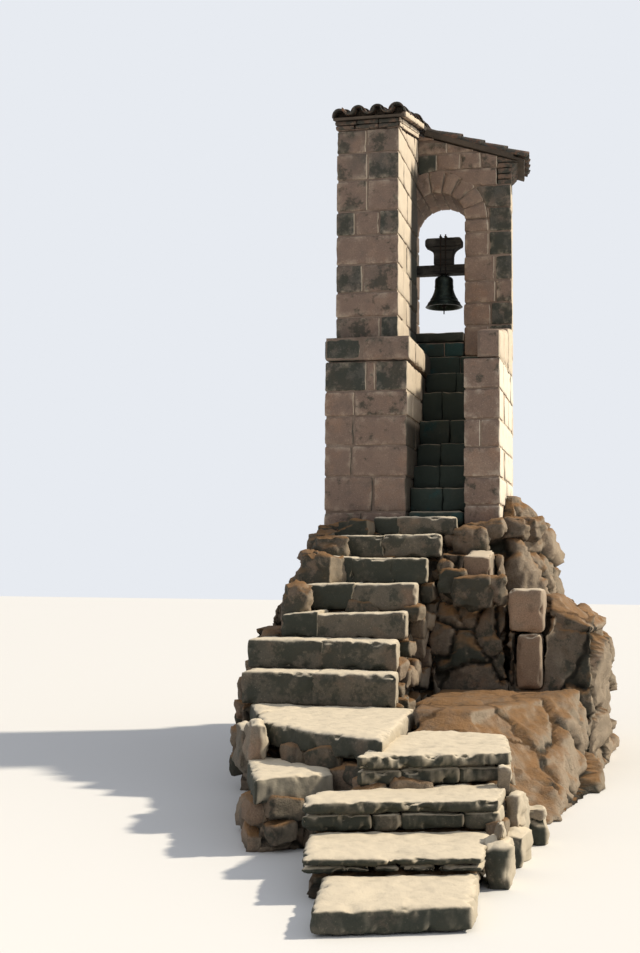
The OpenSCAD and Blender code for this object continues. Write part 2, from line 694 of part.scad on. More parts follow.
tower_podium();
side_boulder();
left_shoulder();
right_ledge();
front_crag();
lower_bank();
dressed_block_low();
dressed_block_high();
flat_block();
lower_stair_core();
upper_stair_core();
lower_step(0);  // lower_step_1
lower_step(1);  // lower_step_2
lower_step(2);  // lower_step_3
lower_step(3);  // lower_step_4
winder_step();
landing_slab();
upper_step(0);  // upper_step_1
upper_step(1);  // upper_step_2
upper_step(2);  // upper_step_3
upper_step(3);  // upper_step_4
upper_step(4);  // upper_step_5
upper_step(5);  // upper_step_6
upper_step(6);  // upper_step_7
threshold_slab();
inner_step(0);  // inner_step_1
inner_step(1);  // inner_step_2
inner_step(2);  // inner_step_3
inner_step(3);  // inner_step_4
inner_step(4);  // inner_step_5
inner_step(5);  // inner_step_6
left_block();
left_block_coping();
right_cheek();
right_cheek_cap();
bell_wall_base();
sill_block();
sill_slab();
left_jamb();
right_jamb();
arch_stones_odd();
arch_stones_even();
gable_wall();
upper_pier();
pier_eaves_course();
pier_roof();
wall_roof();
eave_corbel();
bearing_left();
bearing_right();
headstock();
gudgeons();
yoke_straps();
bell();
clapper();
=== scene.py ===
# %% [markdown]
# # A small stone bell tower
# The object is a free-standing tower of granite blocks on a rocky mound, with an outdoor stair of worn slabs
# and one bell under a brick-edged tile roof. The sizes come from a imported model, the frame: this script gives
# that frame its stones, tiles, timber and metal. Each step says what the real piece is and how it is made.

# %% Load the frame and a helper that reads a node's box
import math
import bmesh
import bpy
import numpy as np
from mathutils import Matrix, Vector, geometry


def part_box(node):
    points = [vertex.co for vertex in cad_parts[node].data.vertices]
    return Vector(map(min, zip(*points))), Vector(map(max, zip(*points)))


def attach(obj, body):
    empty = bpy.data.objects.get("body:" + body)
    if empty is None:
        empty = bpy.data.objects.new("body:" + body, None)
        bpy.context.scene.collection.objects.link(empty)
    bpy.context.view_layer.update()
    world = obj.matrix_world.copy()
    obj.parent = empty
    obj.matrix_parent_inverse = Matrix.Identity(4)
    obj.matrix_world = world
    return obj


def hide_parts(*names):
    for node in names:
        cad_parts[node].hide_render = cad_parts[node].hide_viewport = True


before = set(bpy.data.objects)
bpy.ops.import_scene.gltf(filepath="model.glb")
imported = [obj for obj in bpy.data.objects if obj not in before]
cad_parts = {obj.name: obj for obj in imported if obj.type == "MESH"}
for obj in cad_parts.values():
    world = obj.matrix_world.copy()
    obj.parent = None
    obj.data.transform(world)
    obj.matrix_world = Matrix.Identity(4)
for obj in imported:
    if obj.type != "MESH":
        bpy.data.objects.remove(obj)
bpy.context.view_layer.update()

# %% [markdown]
# ## Helpers
# Shapes and finishes are both built from nodes. A wire is an output of a node. Sums of wires add the nodes that
# work them out, so that a tree reads like a list of steps.

# %% Helpers: objects, nodes and wires
def link(name, data):
    """A new object in the scene that shows some data."""
    made = bpy.data.objects.new(name, data)
    bpy.context.scene.collection.objects.link(made)
    return made


def pick(sockets, name):
    """A socket by its number, or by its name among those that the node uses."""
    return sockets[name] if isinstance(name, int) else [s for s in sockets if s.name == name and s.enabled][0]


def plug(socket, value):
    """Fills an input from a wire or a plain value. A colour may leave out its alpha."""
    if isinstance(value, Wire):
        value.tree.links.new(value.socket, socket)
    else:
        socket.default_value = (*value, 1) if socket.type == "RGBA" and len(value) == 3 else value


def add(tree, kind, inputs=None, **settings):
    """Adds a node, fills its inputs and returns a wire from its first output."""
    made = tree.nodes.new(kind)
    for name, value in settings.items():
        setattr(made, name, value)
    for name, value in (inputs or {}).items():
        plug(pick(made.inputs, name), value)
    return next((Wire(s) for s in made.outputs if s.enabled), None)


def tree_of(*terms):
    return next(t.tree for t in terms if isinstance(t, Wire))


def calc(how, *terms, clamp=False):
    return add(tree_of(*terms), "ShaderNodeMath", dict(enumerate(terms)), operation=how, use_clamp=clamp)


def vector(how, *terms, **inputs):
    return add(tree_of(*terms), "ShaderNodeVectorMath", {**dict(enumerate(terms)), **inputs}, operation=how)


class Wire:
    """An output of a node, ready for sums. [name] gives another output of the same node."""

    def __init__(self, socket):
        self.socket, self.tree = socket, socket.id_data

    def __getitem__(self, name):
        return Wire(pick(self.socket.node.outputs, name))

    def __add__(self, other):
        return calc("ADD", self, other)

    def __radd__(self, other):
        return calc("ADD", other, self)

    def __sub__(self, other):
        return calc("SUBTRACT", self, other)

    def __rsub__(self, other):
        return calc("SUBTRACT", other, self)

    def __mul__(self, other):
        return calc("MULTIPLY", self, other)

    def spread(self, low, high, to_low=0.0, to_high=1.0):
        """A smooth step that leads from to_low, where the wire is low, to to_high."""
        ends = {"From Min": low, "From Max": high, "To Min": to_low, "To Max": to_high}
        return add(self.tree, "ShaderNodeMapRange", {"Value": self, **ends}, interpolation_type="SMOOTHSTEP")


def mix(share, a, b, kind="RGBA"):
    return add(tree_of(share, a, b), "ShaderNodeMix", {"Factor": share, "A": a, "B": b}, data_type=kind)


def xyz(value):
    return add(value.tree, "ShaderNodeSeparateXYZ", {0: value})


def noise(place, scale, detail, rough, shift=None):
    """Noise between 0 and 1. A shift, such as a stone's number, gives another pattern."""
    inputs = {"Vector": place, "Scale": scale, "Detail": detail, "Roughness": rough}
    if shift is None:
        return add(place.tree, "ShaderNodeTexNoise", inputs, noise_dimensions="3D")
    return add(place.tree, "ShaderNodeTexNoise", {**inputs, "W": shift}, noise_dimensions="4D")


def swing(*values):
    """Noise about zero."""
    return noise(*values) - 0.5


# %% Helpers: geometry trees and meshes
KINDS = {int: "Int", float: "Float", tuple: "Vector"}
BELOW_ALL = -99


def new_tree(name, sizes):
    """A geometry tree. Its inputs are a mesh, some named sizes and a material."""
    tree = bpy.data.node_groups.new(name, "GeometryNodeTree")
    tree.interface.new_socket("Geometry", in_out="INPUT", socket_type="NodeSocketGeometry")
    for label, value in sizes.items():
        kind = "NodeSocket" + KINDS[type(value)]
        tree.interface.new_socket(label, in_out="INPUT", socket_type=kind).default_value = value
    tree.interface.new_socket("Material", in_out="INPUT", socket_type="NodeSocketMaterial")
    tree.interface.new_socket("Geometry", in_out="OUTPUT", socket_type="NodeSocketGeometry")
    return tree, add(tree, "NodeGroupInput")


def close_tree(shape, material):
    real = add(shape.tree, "GeometryNodeRealizeInstances", {0: shape})
    add(shape.tree, "NodeGroupOutput", {
        0: add(shape.tree, "GeometryNodeSetMaterial", {"Geometry": real, "Material": material})})
    return shape.tree


def field(tree, name):
    return add(tree, "GeometryNodeInput" + name)


def named(tree, name, kind="FLOAT"):
    return add(tree, "GeometryNodeInputNamedAttribute", {"Name": name}, data_type=kind)


def move(shape, offset):
    return add(shape.tree, "GeometryNodeSetPosition", {"Geometry": shape, "Offset": offset})


def place_at(shape, place):
    return add(shape.tree, "GeometryNodeSetPosition", {"Geometry": shape, "Position": place})


def swell_by(shape, height):
    """Moves each point along its normal, but never below the ground."""
    moved = move(shape, vector("SCALE", field(shape.tree, "Normal"), Scale=height))
    return place_at(moved, vector("MAXIMUM", field(shape.tree, "Position"), (BELOW_ALL, BELOW_ALL, 0.0)))


def seed_mesh(name, points, faces=(), marks=None):
    """A mesh of plain points and faces with named numbers on its points."""
    mesh = bpy.data.meshes.new(name)
    mesh.from_pydata([tuple(p) for p in points], [], [tuple(int(i) for i in f) for f in faces])
    for label, values in (marks or {}).items():
        kind, key = ("FLOAT_VECTOR", "vector") if np.ndim(values) == 2 else ("FLOAT", "value")
        data = mesh.attributes.new(label, kind, "POINT").data
        data.foreach_set(key, np.asarray(values, np.float32).ravel())
    return mesh


def loft(name, rings):
    """A closed mesh through rings that have as many points each."""
    count, last = len(rings[0]), (len(rings) - 1) * len(rings[0])
    sides = [(k + i, k + (i + 1) % count, k + count + (i + 1) % count, k + count + i)
             for k in range(0, last, count) for i in range(count)]
    return seed_mesh(name, np.vstack(rings), [*sides, range(count)[::-1], range(last, last + count)])


def shown_mesh(source):
    """The mesh of an object with its modifiers applied. The object is removed."""
    result = bpy.data.meshes.new_from_object(source.evaluated_get(bpy.context.evaluated_depsgraph_get()))
    bpy.data.objects.remove(source)
    return result


def grow(name, mesh, tree, values):
    """Runs a geometry tree on a mesh and returns the result as a plain object with no modifier left."""
    source = link(name + "_source", mesh)
    modifier = source.modifiers.new("grow", "NODES")
    modifier.node_group = tree
    for item in tree.interface.items_tree:
        if item.in_out == "INPUT" and item.name in values:
            modifier[item.identifier] = values[item.name]
    result = shown_mesh(source)
    result.name = name
    result.shade_smooth()
    return link(name, result)


def settle(piece, body, slot, *nodes):
    """The piece rides on a body and stands for some frame nodes, which are hidden. The slot's name is not used.
    """
    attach(piece, body)
    if nodes:
        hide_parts(*nodes)
    count = sum(len(p.vertices) - 2 for p in piece.data.polygons)
    print(f"{piece.name}: {count} triangles, stands for {list(nodes)}")
    return piece


# %% Helpers: materials
def new_material(name, inputs):
    """A material with plain values on its shader, and the wire of its object coordinates."""
    material = bpy.data.materials.new(name)
    material.use_nodes = True
    for label, value in inputs.items():
        plug(material.node_tree.nodes["Principled BSDF"].inputs[label], value)
    return material, add(material.node_tree, "ShaderNodeTexCoord")["Object"]


def start_finish(name, roughness=0.9, metallic=0.0):
    return new_material(name, {"Roughness": roughness, "Metallic": metallic, "Specular IOR Level": 0.25})


def end_finish(material, colour, height, distance, strength=0.9, **others):
    """Plugs a colour, a bump and other wires into the shader."""
    bump = add(material.node_tree, "ShaderNodeBump",
               {"Strength": strength, "Distance": distance, "Height": height})
    for label, value in {"Base Color": colour, "Normal": bump, **others}.items():
        plug(material.node_tree.nodes["Principled BSDF"].inputs[label], value)
    return material


def marks(place, *names):
    """The numbers that a mesh carries on its points, as a finish reads them."""
    return [add(place.tree, "ShaderNodeAttribute", attribute_name=name)["Fac"] for name in names]


def facing(place):
    return xyz(add(place.tree, "ShaderNodeNewGeometry")["Normal"])


# %% [markdown]
# ## Camera
# The object is seen from low down, from the right of the stair's foot, and the camera leans back a little.
# A camera matrix holds three directions, right, up and backwards, so these are worked out from three angles.

# %% Place the camera
EYE = Vector((2.013, -12.3, 1.68))
TURN, PITCH, ROLL = math.radians(13.233), math.radians(4.055), math.radians(0.475)

ahead = Vector((-math.sin(TURN) * math.cos(PITCH), math.cos(TURN) * math.cos(PITCH), math.sin(PITCH)))
level = Vector((math.cos(TURN), math.sin(TURN), 0))
upright = level.cross(ahead)
right = level * math.cos(ROLL) + upright * math.sin(ROLL)
up = upright * math.cos(ROLL) - level * math.sin(ROLL)
camera = link("camera", bpy.data.cameras.new("camera"))
camera.data.sensor_width = 36.0
camera.data.lens = 50.0
camera.data.clip_end = 200
camera.matrix_world = Matrix((right, up, -ahead)).transposed().to_4x4()
camera.matrix_world.translation = EYE
bpy.context.scene.camera = camera
print("camera looks along", [round(c, 3) for c in ahead])

# %% [markdown]
# ## Floor and light
# The floor is a pale plane. A wide warm lamp to the right, a little behind the tower, stands for low daylight,
# so that treads and right-hand faces come out light and each riser keeps a shadow. The world fills the rest,
# and shows as a pale backdrop to the camera.

# %% Make the floor, the world and the lamps
FLOOR_HALF, FLOOR_Z = 60.0, -0.001
FLOOR_TONE = (0.82, 0.82, 0.80)
BACKDROP = (0.80, 0.83, 0.88)
SKY, SKY_STRENGTH = (0.86, 0.90, 1.0), 0.46
MIDDLE = (0, -1.0, 3.0)

floor_corners = [(x * FLOOR_HALF, y * FLOOR_HALF, FLOOR_Z) for x, y in ((-1, -1), (1, -1), (1, 1), (-1, 1))]
floor = link("floor", seed_mesh("floor", floor_corners, [(0, 1, 2, 3)]))
floor.data.materials.append(new_material("floor_paint", {"Base Color": FLOOR_TONE, "Roughness": 0.9})[0])

world = bpy.data.worlds.new("world")
bpy.context.scene.world = world
world.use_nodes = True
sky = world.node_tree.nodes["Background"]
plug(sky.inputs["Color"], SKY)
plug(sky.inputs["Strength"], SKY_STRENGTH)
backdrop = add(world.node_tree, "ShaderNodeBackground", {"Color": BACKDROP, "Strength": 1.0})
seen = add(world.node_tree, "ShaderNodeLightPath")
seen = calc("MAXIMUM", seen["Is Camera Ray"], seen["Is Glossy Ray"])
either = add(world.node_tree, "ShaderNodeMixShader", {0: seen, 1: Wire(sky.outputs[0]), 2: backdrop})
plug(world.node_tree.nodes["World Output"].inputs[0], either)


def lamp(name, kind, place, strength, colour, **settings):
    made = link(name, bpy.data.lights.new(name, kind))
    made.data.energy, made.data.color = strength, colour
    for label, value in settings.items():
        setattr(made.data, label, value)
    turn = (Vector(place) - Vector(MIDDLE)).to_track_quat("Z", "Y").to_matrix().to_4x4()
    made.matrix_world = Matrix.Translation(place) @ turn


lamp("low_daylight", "SUN", (9.0, 3.4, 11.5), 3.7, (1.0, 0.89, 0.73), angle=math.radians(3.5))
lamp("front_fill", "AREA", (-6.0, -13.0, 7.0), 190, (1.0, 0.94, 0.88), shape="DISK", size=9.0)
bpy.context.scene.view_settings.view_transform = "Standard"
print("lamps and floor are set")

# %% [markdown]
# ## Stone finishes
# Granite here is a warm brown with a coarse grain. Rain-washed faces carry dark lichen, and worn arrises and
# treads are pale. Faces turned to the right are painted pale, as sunlit, and on the tower they are painted dark
# with shadow where the bell wall and the cheek keep the sun off them. Each stone has its own tone, held as a
# number on the mesh, so neighbours differ as real quarried blocks do. All patterns read Object coordinates, so
# they stay in place.

# %% Make the granite finish
BLACK_LICHEN = (0.034, 0.040, 0.031)
# The colour of painted shade on faces turned to the right, where the sun is kept off.
PAINTED_SHADE_COLOUR = (0.050, 0.056, 0.044)
IRON_STAIN = (0.36, 0.205, 0.125)


def painted_shadow_corners(place, to_right):
    """Shares of painted shadow on faces turned to the right: low on the block's side in the stairwell, where
    the cheek keeps the sun off, and on the rear of the pier's right face, where the bell wall does. The first
    share takes the painted sunlight away; the second paints the shade dark, less dark inside the arch."""
    spot = xyz(place)
    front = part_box("bell_wall_base")[0][1]
    # Painted shadow of the bell wall on the rear of the pier's right face, up to the shadow of its eave.
    corner = spot["Y"].spread(0.84, 0.93) * spot["Z"].spread(5.80, 5.92, 1.0, 0.0)
    # Painted shadow of the cheek, low on the block's right face in the stairwell.
    either_shadow = calc("MAXIMUM", corner, spot["Z"].spread(3.05, 3.22, 1.0, 0.0))
    shadowed_share = either_shadow * (spot["X"].spread(0.30, 0.45, 1.0, 0.0) * to_right.spread(0.2, 0.6))
    return shadowed_share, shadowed_share * spot["Y"].spread(front - 0.02, front + 0.04, 0.75, 0.25)


def granite(name, dark, mid, pale, worn_and_sunlit, lichen, treads=0.0, painted_sunlight=0.0, crack_and_dust_colours=None, bump=0.012, paints_shadow=False):
    """treads, painted_sunlight and lichen are shares. painted_sunlight paints faces turned to the right pale,
    as sunlit, towards worn_and_sunlit. crack_and_dust_colours holds the colour put into the cracks and that of
    dusty tops.
    paints_shadow paints shade where the bell wall and the cheek keep the sun off.
    """
    material, place = start_finish(name)
    tone, edge, number = marks(place, "tone", "edge", "number")
    broad = noise(place, 2.4, 4.0, 0.6, number)
    cloudy = noise(place, 9.0, 6.0, 0.65, number)
    grain = noise(place, 95.0, 3.0, 0.7)
    patch = noise(place, 5.5, 8.0, 0.72, number)
    shade = tone + (broad - 0.5) * 0.9
    body = mix(shade.spread(0.10, 0.45), dark, mid)
    body = mix(shade.spread(0.55, 1.0), body, pale)
    body = mix(noise(place, 3.1, 5.0, 0.6).spread(0.50, 0.68, 0.0, 0.5) * tone, body, IRON_STAIN)
    body = mix(cloudy.spread(0.48, 0.72, 0.0, 0.40), body, pale)
    body = mix(cloudy.spread(0.28, 0.46, 0.38, 0.0), body, dark)
    body = mix(grain.spread(0.35, 0.55, 0.30, 0.0), body, dark)
    body = mix(grain.spread(0.60, 0.75, 0.0, 0.30), body, worn_and_sunlit)
    reach = 0.70 - (1.0 - tone) * (0.34 * lichen)
    body = mix((patch - reach).spread(-0.04, 0.06) * 0.75, body, BLACK_LICHEN)
    normal = facing(place)
    rubbed = edge * cloudy.spread(0.45, 0.65, 0.0, 0.35)
    if treads:
        rubbed = rubbed * normal["Z"].spread(0.0, 0.6)
    body = mix(rubbed, body, worn_and_sunlit)
    # Painted light: faces turned to the right are painted pale, towards the worn_and_sunlit colour, as sunlit.
    if painted_sunlight:
        painted_sunlit_share = normal["X"].spread(0.35, 0.9) * cloudy.spread(0.25, 0.6, painted_sunlight * 0.85, painted_sunlight)
        # Painted shadow: where the sun is kept off, the pale paint goes and these faces are painted dark.
        if paints_shadow:
            shadowed_share, painted_shade_share = painted_shadow_corners(place, normal["X"])
            painted_sunlit_share = painted_sunlit_share * (1.0 - shadowed_share)
            body = mix(painted_shade_share, body, PAINTED_SHADE_COLOUR)
        body = mix(painted_sunlit_share, body, worn_and_sunlit)
    if treads:
        trodden = normal["Z"].spread(0.45, 0.9) * cloudy.spread(0.25, 0.50, treads * 0.75, treads)
        body = mix(trodden, body, worn_and_sunlit)
    # The cracks are coloured near black, and tops turned upwards take a dusty colour.
    if crack_and_dust_colours:
        body = mix(marks(place, "crevice")[0].spread(0.25, 0.8, 0.0, 0.85), body, crack_and_dust_colours[0])
        dust = normal["Z"].spread(0.25, 0.8) * patch.spread(0.30, 0.62, 0.25, 0.95)
        body = mix(dust, body, crack_and_dust_colours[1])
    fine = cloudy * 0.7 + grain * 0.22 + noise(place, 30.0, 5.0, 0.7, number) * 0.35
    return end_finish(material, body, fine, bump, Roughness=cloudy.spread(0.3, 0.7, 0.80, 0.96))


WALL_TONES = (0.080, 0.078, 0.067), (0.222, 0.155, 0.120), (0.325, 0.235, 0.178)
# Block stone paints sunlight on faces turned to the right, and painted shadow where the bell wall and cheek
# keep the sun off.
BLOCK_STONE = granite("block_stone", *WALL_TONES, (0.80, 0.69, 0.53), 0.75, painted_sunlight=0.95, paints_shadow=True)
# The cheek's copy of the same granite has a paler worn_and_sunlit colour, so its right face is painted paler
# still, as in full sun.
CHEEK_STONE_PAINTED_SUNLIT = granite("cheek_stone", *WALL_TONES, (0.94, 0.86, 0.70), 0.75, painted_sunlight=0.97)
# These finishes also paint faces turned to the right pale, as sunlit, by their painted_sunlight share.
TREAD_STONE = granite("tread_stone", (0.062, 0.062, 0.050), (0.125, 0.108, 0.084), (0.25, 0.208, 0.158),
                      (0.73, 0.64, 0.485), 1.0, treads=1.0, painted_sunlight=0.7)
MOUND_STONE = granite("mound_stone", (0.050, 0.052, 0.040), (0.155, 0.122, 0.090), (0.30, 0.235, 0.170),
                      (0.58, 0.47, 0.34), 1.0, painted_sunlight=0.5, bump=0.045,
                      crack_and_dust_colours=((0.026, 0.025, 0.018), (0.29, 0.160, 0.068)))
# The stairwell's stone is painted dark and teal, as the deep shade there looks: painted shade, with lichen and
# worn treads too.
WELL_STONE_PAINTED_SHADE = granite("well_stone", (0.013, 0.034, 0.033), (0.024, 0.058, 0.054), (0.055, 0.075, 0.062),
                     (0.34, 0.29, 0.21), 1.2, treads=0.8)
LEDGE_STONE = granite("ledge_stone", (0.045, 0.042, 0.032), (0.215, 0.147, 0.100), (0.33, 0.238, 0.168),
                      (0.66, 0.56, 0.42), 0.7, treads=1.0, painted_sunlight=0.4)
print("stone finishes:", [m.name for m in bpy.data.materials])


# %% Make the mortar finish
def mortar(name, sand, lime, painted_sunlight=False):
    material, place = start_finish(name)
    grain = noise(place, 120.0, 2.0, 0.6)
    body = mix(noise(place, 3.5, 5.0, 0.6).spread(0.35, 0.65), sand, lime)
    body = mix(grain.spread(0.4, 0.65, 0.3, 0.0), body, (0.12, 0.09, 0.07))
    # Painted light and shade: joints turned to the right are painted pale, as sunlit, and painted dark where
    # shadow falls.
    if painted_sunlight:
        to_right = facing(place)["X"]
        shadowed_share, painted_shade_share = painted_shadow_corners(place, to_right)
        painted_sunlit_share = calc("SUBTRACT", to_right.spread(0.35, 0.9, 0.0, 0.95), shadowed_share, clamp=True)
        body = mix(painted_sunlit_share, mix(painted_shade_share, body, PAINTED_SHADE_COLOUR), (0.70, 0.60, 0.455))
    return end_finish(material, body, grain, 0.006, 0.8)


# The lime mortar's joints take the same painted sunlight and painted shadow as the block stone.
LIME_MORTAR = mortar("lime_mortar", (0.17, 0.125, 0.098), (0.285, 0.22, 0.172), painted_sunlight=True)
BED_MORTAR = mortar("bed_mortar", (0.050, 0.042, 0.033), (0.095, 0.075, 0.057))

# %% [markdown]
# ## Weathered stones
# A dressed block is a box with rounded arrises. The box is built here on a lattice that is finer near its
# edges, and the rounding pushes each point onto the arc. A block may also be a wedge or have a sloping top,
# because its eight corners are free. A geometry tree then adds the hollows and chips of weather, a different
# pattern on each stone, by reading the stone's number as the noise's fourth coordinate.

# %% Build rounded blocks on a lattice
luck = np.random.default_rng(11)
BLOCK_WEAR, SLAB_WEAR = 0.035, 0.05


def pairs(values):
    return list(zip(values[:-1], values[1:]))


def lattice_shell(counts):
    """Places on the shell of a lattice, and the quads between them, facing outwards."""
    places = np.indices(counts).reshape(3, -1).T
    shell = places[((places == 0) | (places == np.array(counts) - 1)).any(1)]
    number = np.full(counts, -1)
    number[tuple(shell.T)] = np.arange(len(shell))
    quads = []
    for axis in range(3):
        for end in (0, -1):
            side = np.take(number, end, axis=axis)
            quad = np.stack([side[:-1, :-1], side[1:, :-1], side[1:, 1:], side[:-1, 1:]], -1).reshape(-1, 4)
            quads.append(quad[:, ::-1] if (end == 0) != (axis == 1) else quad)
    return shell, np.concatenate(quads)


def edge_spaced(length, radius, cell):
    """Places along one side of a block, close together where the arris is rounded."""
    count = max(2, round((length - 2 * radius) / cell) + 1)
    inner = np.linspace(radius, length - radius, count)
    return np.concatenate([[0, radius * 0.4], inner, [length - radius * 0.4, length]])


def rounded_block(corners, joint, radius, cell):
    """Points, quads and nearness to an arris of one block. corners is indexed by X, Y and Z end."""
    lengths = np.array([np.linalg.norm(np.diff(corners, axis=a), axis=-1).mean() for a in range(3)])
    clear = lengths - joint
    radius = min(radius, clear.min() * 0.3)
    lines = [edge_spaced(side, radius, cell) for side in clear]
    shell, quads = lattice_shell([len(line) for line in lines])
    flat = np.stack([line[shell[:, a]] for a, line in enumerate(lines)], 1)
    inner = np.clip(flat, radius, clear - radius)
    out = flat - inner
    reach = np.linalg.norm(out, axis=1, keepdims=True)
    local = inner + out / np.maximum(reach, 1e-9) * np.where(reach > 0, radius, 0)
    depth = np.sort(np.minimum(flat, clear - flat), axis=1)
    u, v, w = ((local + joint / 2) / lengths).T[:, :, None]
    points = sum(corners[i, j, k] * (u if i else 1 - u) * (v if j else 1 - v) * (w if k else 1 - w)
                 for i in (0, 1) for j in (0, 1) for k in (0, 1))
    return points, quads, np.clip(1 - depth[:, 1] / BLOCK_WEAR, 0, 1)


def box_corners(low, high):
    return np.stack(np.meshgrid(*zip(low, high), indexing="ij"), -1).astype(float)


def sloped(low, high, tops, bottoms=None):
    """A box whose top, and maybe its bottom, runs from one height in front to another at the back."""
    corners = box_corners(low, high)
    corners[:, :, 1, 2] = tops
    if bottoms is not None:
        corners[:, :, 0, 2] = bottoms
    return corners


def wedge_corners(outline, near, far):
    """A four-sided outline in X and Z (low left, low right, high right, high left) between two depths."""
    low_left, low_right, high_right, high_left = outline
    return np.array([[[(x, y, z) for x, z in side] for y in (near, far)]
                     for side in ((low_left, high_left), (low_right, high_right))])


WALL_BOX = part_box("bell_wall_base")
SKEW_FROM, SKEW = 0.60, 0.055


def out_of_square(points):
    """Draws the right end of the bell wall inwards towards the back, as the real wall runs."""
    share = np.clip((points[:, 0] - SKEW_FROM) / (WALL_BOX[1].x - SKEW_FROM), 0, 1)
    back = np.clip((points[:, 1] - WALL_BOX[0].y) / (WALL_BOX[1].y - WALL_BOX[0].y), 0, 1.1)
    return points - np.outer(share * back * SKEW, [1, 0, 0])


def seed_of_parts(name, parts):
    """One seed mesh of many stones, each with its points, quads, tone, nearness to an arris and number."""
    points, faces, start = [], [], 0
    carried = {"tone": [], "edge": [], "number": []}
    for places, quads, *values in parts:
        points.append(places)
        faces.append(quads + start)
        start += len(places)
        for label, value in zip(carried, values):
            carried[label].append(np.broadcast_to(value, len(places)))
    joined = {label: np.concatenate(values) for label, values in carried.items()}
    return seed_mesh(name, np.concatenate(points), np.concatenate(faces), joined)


# %% Grow the weathering tree
def soften(shape, passes):
    """Averages each point with its neighbours, which rounds a coarse edge."""
    blur = {"Value": field(shape.tree, "Position"), "Iterations": passes}
    return place_at(shape, add(shape.tree, "GeometryNodeBlurAttribute", blur, data_type="FLOAT_VECTOR"))


def weathering_tree():
    tree, given = new_tree("weathering", {
        "Smoothing": 0, "Relief": 0.008, "Relief scale": 4.0, "Grain": 0.004, "Grain scale": 24.0,
        "Chips": 0.014})
    place, number, edge = field(tree, "Position"), named(tree, "number"), named(tree, "edge")
    swell = swing(place, given["Relief scale"], 3.0, 0.55, number) * given["Relief"]
    rough = swing(place, given["Grain scale"], 4.0, 0.6, number) * given["Grain"]
    bitten = calc("MAXIMUM", noise(place, 11.0, 2.0, 0.5, number) - 0.52, 0.0)
    height = (swell + rough) * 2.0 - bitten * edge * (given["Chips"] * 6.0)
    return close_tree(swell_by(soften(given, given["Smoothing"]), height), given["Material"])


WEATHERING = weathering_tree()
print("weathering tree has", len(WEATHERING.nodes), "nodes")


def stone_piece(name, blocks, slot, *nodes, material=BLOCK_STONE, joint=0.012, radius=0.016, cell=0.045,
                **weather):
    """One piece of many blocks. Each has its corners, its tone and, where it is curved, a way to bend it."""
    parts = []
    for number, (corners, tone, *bend) in enumerate(blocks):
        points, quads, edge = rounded_block(corners, joint, radius * luck.uniform(0.7, 1.5), cell)
        parts.append((out_of_square(bend[0](points) if bend else points), quads, tone, edge, number * 3.7 + 1))
    values = {"Material": material, **weather}
    settle(grow(name, seed_of_parts(name, parts), WEATHERING, values), "root", slot, *nodes)


# %% [markdown]
# ## Laying courses
# A wall of dressed stone is laid in level courses. In each course the front row is cut where the real joints
# lie, the corner stones reach back a long or a short way in turn, and plain stones fill the sides. The sides
# run through from the front wings to the bell wall, so no straight joint divides them.

# %% Lay rows of stones
SIDE_STONE, BACK_STONE = 0.46, 0.42
STONE_DEPTH, CORNER, CHEEK_DEPTH = 0.24, 0.3, 0.16
REACHES = ((0.52, 0.30), (0.30, 0.52))


def even_cuts(low, high, size):
    """Joints between two ends at about one stone's length, a little uneven."""
    count = max(1, round((high - low) / size))
    cuts = np.linspace(low, high, count + 1)
    cuts[1:-1] += luck.uniform(-0.12, 0.12, count - 1) * (high - low) / count
    return list(cuts)


def random_tone():
    return float(np.clip(luck.normal(0.52, 0.16), 0.05, 0.95))


def jut():
    """How far a stone's face stands out of the wall's plane."""
    return 0.006 + luck.uniform(-0.3, 1.0) * 0.006


def face_row(y_out, inward, cuts, tones, bottom, top, reach=(STONE_DEPTH, STONE_DEPTH),
             open_ends=(False, False)):
    """Stones along X in a front (inward 1) or back (inward -1) face. reach is the depth of the end stones."""
    blocks, last = [], len(cuts) - 2
    for i, (a, b) in enumerate(pairs(cuts)):
        depth = reach[0] if i == 0 else reach[1] if i == last else STONE_DEPTH
        near, far = sorted((y_out - inward * jut(), y_out + inward * depth))
        if i == 0 and open_ends[0]:
            a -= jut()
        if i == last and open_ends[1]:
            b += jut()
        blocks.append((box_corners([a, near, bottom], [b, far, top]), tones[i] if tones else random_tone()))
    return blocks


def side_row(x_out, inward, y0, y1, bottom, top, depth=STONE_DEPTH):
    """Stones along Y in a left (inward 1) or right (inward -1) face."""
    blocks = []
    for a, b in pairs(even_cuts(y0, y1, SIDE_STONE)):
        near, far = sorted((x_out - inward * jut(), x_out + inward * depth))
        blocks.append((box_corners([near, a, bottom], [far, b, top]), random_tone()))
    return blocks


def before_wall(block):
    return block[0][..., 1].mean() < wall_front


def plan_box(*nodes):
    """Lowest and highest corner of some frame nodes together, as plain numbers."""
    boxes = [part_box(n) for n in nodes]
    return np.min([b[0] for b in boxes], axis=0), np.max([b[1] for b in boxes], axis=0)


# %% Read the walls' lines from the frame
PIER_PITCH, WALL_PITCH = math.radians(12.5), math.radians(18.5)

